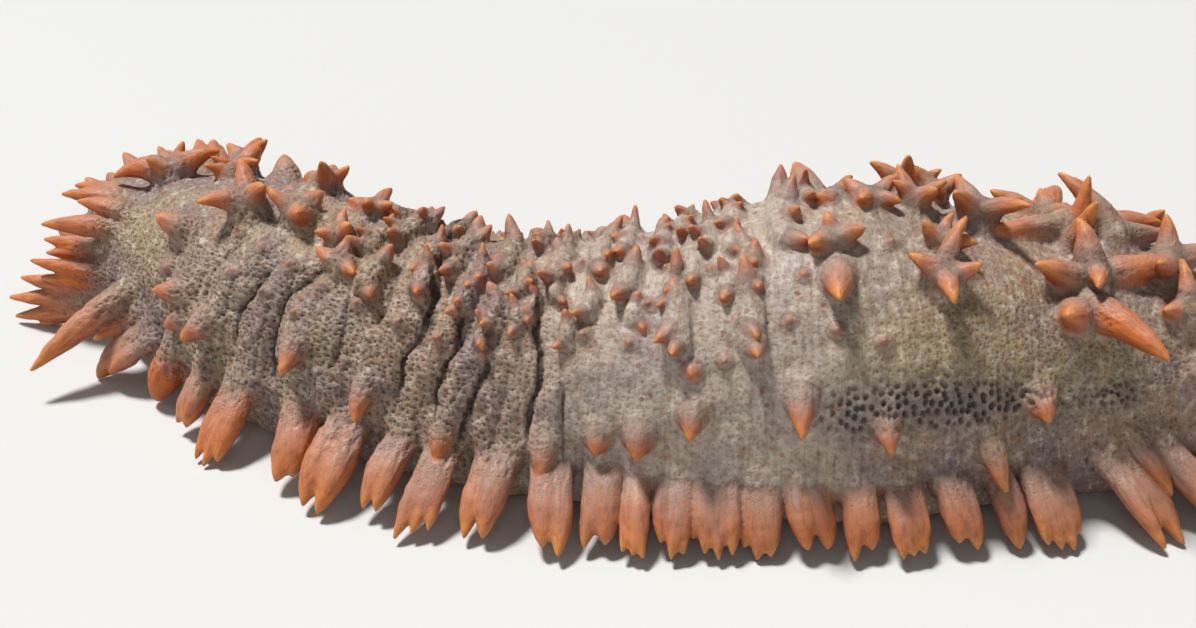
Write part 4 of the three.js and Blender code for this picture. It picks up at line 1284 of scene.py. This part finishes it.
flesh = node(tree, NOISE, {"Vector": flow_mm, "Scale": 1 / FLESH_PATCH, "Detail": 4}).outputs[0]
uneven = node(tree, MATH, {0: flesh, 1: BLUSH_WANDER, 2: -BLUSH_WANDER / 2},
              operation="MULTIPLY_ADD").outputs[0]
along_ramp = node(tree, MATH, {0: on_skin["blush"], 1: uneven}, operation="ADD").outputs[0]
ramp = node(tree, "ShaderNodeValToRGB", {"Fac": along_ramp})
for _ in FLESH_RAMP[2:]:
    ramp.color_ramp.elements.new(0.5)
for stop, (position, code) in zip(ramp.color_ramp.elements, FLESH_RAMP):
    stop.position, stop.color = position, linear(code)
# Painted top light: a papilla turns paler and greyer where it faces up, but not at its tip.
top = node(tree, RANGE, {"Value": on_skin["upward"], "From Min": 0.3, "To Max": TOP_LIGHT_SHARE},
           **SMOOTH)
not_tip = node(tree, MATH, {0: 1, 1: on_skin["tip"]}, operation="SUBTRACT").outputs[0]
painted_top_light = node(tree, MATH, {0: top.outputs[0], 1: not_tip}, operation="MULTIPLY").outputs[0]
flesh_coats = [
    (on_skin["tint"], 0, -2, 1, "#96432D", STRAIGHT),
    (on_skin["tint"], 0, 1.25, 1, "#C96A28", STRAIGHT),
    # painted top light on the sides that face up
    (painted_top_light, 0, 1, 1, "#AE9182", STRAIGHT),
    # painted shade: dark red on the undersides that face down
    (on_skin["upward"], 0.15, -0.6, 0.7, "#84371F", SMOOTH),
    (on_skin["tip"], 0, 1, 0.45, "#DB9450", STRAIGHT),
    (streaks, 0.45, 0.75, 0.5, "#8A4E38", SMOOTH),
]

# %% [markdown]
# Each coat becomes two nodes: one turns what it follows into how much it covers, and one mixes
# its colour in. The papillae's colour then goes over the skin's where the blush begins.
# %% Skin: lay the coats
laid = []
for colour, coats in ((linear(GROUND), skin_coats), (ramp.outputs[0], flesh_coats)):
    for follows, start, full, most, code, edge in coats:
        share = node(tree, RANGE, {"Value": follows, "From Min": start, "From Max": full,
                                   "To Max": most}, **edge).outputs[0]
        colour = node(tree, MIX, {SHARE: share, ONE: colour, OTHER: linear(code)},
                      data_type="RGBA").outputs[MIXED]
    laid.append(colour)
blushed = node(tree, RANGE, {"Value": along_ramp, "From Min": -0.1, "From Max": 0.5}, **SMOOTH)
rooted = node(tree, RANGE, {"Value": on_skin["reach"], "From Max": 0.2}, **SMOOTH).outputs[0]
share = node(tree, MATH, {0: blushed.outputs[0], 1: rooted}, operation="MULTIPLY").outputs[0]
colour = node(tree, MIX, {SHARE: share, ONE: laid[0], OTHER: laid[1]},
              data_type="RGBA").outputs[MIXED]
print("coats on the skin and on the papillae:", len(skin_coats), len(flesh_coats))

# %% [markdown]
# The sole of this species is red, with paler discs on its tube feet. A fine grain lies over
# everything, and the wet film on the flesh gives small soft glints.
# %% Skin: sole, grain and shader
GRAIN, NET = 0.8, 2.0
NET_HEIGHT, GRAIN_HEIGHT, STREAK_HEIGHT, BUMP_DEPTH = 0.35, 0.6, -0.8, 0.5
SOLE, FOOT_DISC = linear("#9A4A40"), linear("#D79A8C")

sole_colour = node(tree, MIX, {SHARE: on_skin["foot"], ONE: SOLE, OTHER: FOOT_DISC},
                   data_type="RGBA").outputs[MIXED]
colour = node(tree, MIX, {SHARE: on_skin["sole"], ONE: colour, OTHER: sole_colour},
              data_type="RGBA").outputs[MIXED]

grain = node(tree, NOISE, {"Vector": spot, "Scale": 1 / (GRAIN * MM), "Detail": 3}).outputs[0]
to_edge = node(tree, SPOTS, {"Vector": spot, "Scale": 1 / (NET * MM)},
               feature="DISTANCE_TO_EDGE").outputs["Distance"]
net = node(tree, RANGE, {"Value": to_edge, "From Max": 0.3, "To Max": NET_HEIGHT},
           **SMOOTH).outputs[0]
shallow = node(tree, RANGE, {"Value": fine_pits, "From Min": 0.05, "From Max": 0.5}, **SMOOTH)
height = node(tree, MATH, {0: net, 1: shallow.outputs[0]}, operation="ADD").outputs[0]
height = node(tree, MATH, {0: height, 1: on_skin["rough"]}, operation="MULTIPLY").outputs[0]
for pattern, strength in ((grain, GRAIN_HEIGHT), (streaks, STREAK_HEIGHT)):
    height = node(tree, MATH, {0: pattern, 1: strength, 2: height},
                  operation="MULTIPLY_ADD").outputs[0]
bump = node(tree, "ShaderNodeBump",
            {"Height": height, "Strength": 0.6, "Distance": BUMP_DEPTH * MM})
roughness = node(tree, RANGE, {"Value": grain, "From Min": 0.3, "From Max": 0.7, "To Min": 0.5,
                               "To Max": 0.68}).outputs[0]
shader = node(tree, "ShaderNodeBsdfPrincipled", {
    "Base Color": colour, "Roughness": roughness, "Normal": bump.outputs[0], "IOR": 1.4,
    "Subsurface Weight": 0.1, "Subsurface Radius": (1.0, 0.35, 0.2), "Subsurface Scale": 2.5 * MM,
    "Coat Weight": 0.07, "Coat Roughness": 0.3,
})
node(tree, "ShaderNodeOutputMaterial", {"Surface": shader.outputs[0]})
skin_data.materials.append(skin_look)
print("nodes in the skin's material:", len(tree.nodes))

# %% [markdown]
# ## Floor, light and camera
# A plain pale floor and soft light, as in a studio. The main light comes from above, a little
# behind and from the head side, as on the real animal, so that the papillae cast short shadows
# towards the camera. It is a wide sun lamp, because an area lamp near enough to do this would
# leave the far floor dark. Two area lamps soften its shadows. The camera looks down from the
# side at the same angle as the photo.
# %% Floor
FLOOR_REACH = 12

floor_data = bpy.data.meshes.new("floor")
corners = [(x * FLOOR_REACH, y * FLOOR_REACH, 0) for x, y in ((-1, -1), (1, -1), (1, 1), (-1, 1))]
floor_data.from_pydata(corners, [], [(0, 1, 2, 3)])
floor = bpy.data.objects.new("floor", floor_data)
bpy.context.scene.collection.objects.link(floor)
floor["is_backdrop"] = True
floor_look, tree = new_material("matt_pale_floor")
shader = node(tree, "ShaderNodeBsdfPrincipled",
              {"Base Color": linear("#CFCECB"), "Roughness": 0.85})
node(tree, "ShaderNodeOutputMaterial", {"Surface": shader.outputs[0]})
floor_data.materials.append(floor_look)

# %% Lights
LIT_POINT = Vector((0, 0, 0.03))
SKY, SKY_STRENGTH = linear("#DDE3E8"), 0.18


def add_lamp(name, spot, kind, strength, **settings):
    data = bpy.data.lights.new(name, kind)
    data.energy = strength
    for setting, value in settings.items():
        setattr(data, setting, value)
    lamp = bpy.data.objects.new(name, data)
    bpy.context.scene.collection.objects.link(lamp)
    lamp.location = spot
    lamp.rotation_mode = "QUATERNION"
    lamp.rotation_quaternion = (LIT_POINT - Vector(spot)).to_track_quat("-Z", "Y")


add_lamp("key", (-0.42, 0.15, 1.2), "SUN", 4.1, angle=math.radians(11))
add_lamp("fill", (0.3, -1.3, 0.7), "AREA", 2.6, shape="DISK", size=1.2)
add_lamp("head_fill", (-1.2, -0.4, 0.7), "AREA", 1.4, shape="DISK", size=0.9)

world = bpy.data.worlds.new("studio")
bpy.context.scene.world = world
world.use_nodes = True
background = world.node_tree.nodes["Background"]
background.inputs["Color"].default_value = SKY
background.inputs["Strength"].default_value = SKY_STRENGTH
bpy.context.scene.view_settings.view_transform = "Standard"

# %% Camera
ELEVATION, AZIMUTH, DISTANCE, FIELD = math.radians(33), math.radians(16), 610, math.radians(40)
AIM_AT = Vector((-7.4, 4.5, 32)) * MM

level = math.cos(ELEVATION)
back = Vector((math.sin(AZIMUTH) * level, -math.cos(AZIMUTH) * level, math.sin(ELEVATION)))
camera_data = bpy.data.cameras.new("camera")
camera_data.angle = FIELD
camera = bpy.data.objects.new("camera", camera_data)
bpy.context.scene.collection.objects.link(camera)
camera.location = AIM_AT + back * DISTANCE * MM
camera.rotation_mode = "QUATERNION"
camera.rotation_quaternion = back.to_track_quat("Z", "Y")
bpy.context.scene.camera = camera
print("camera at", [round(side / MM) for side in camera.location], "mm")

# %% [markdown]
# ## Sizes
# The boxes of the imported model and of the visual model are both printed. The visual
# model may not be larger than the imported one.
# %% Sizes and finish
visual_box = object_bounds()
boxes = {"cad": [list(corner) for corner in CAD_BOX],
         "visual": [list(corner) for corner in visual_box]}
for name, box in boxes.items():
    print(name, "box in mm:", [[round(x / MM, 1) for x in corner] for corner in box])
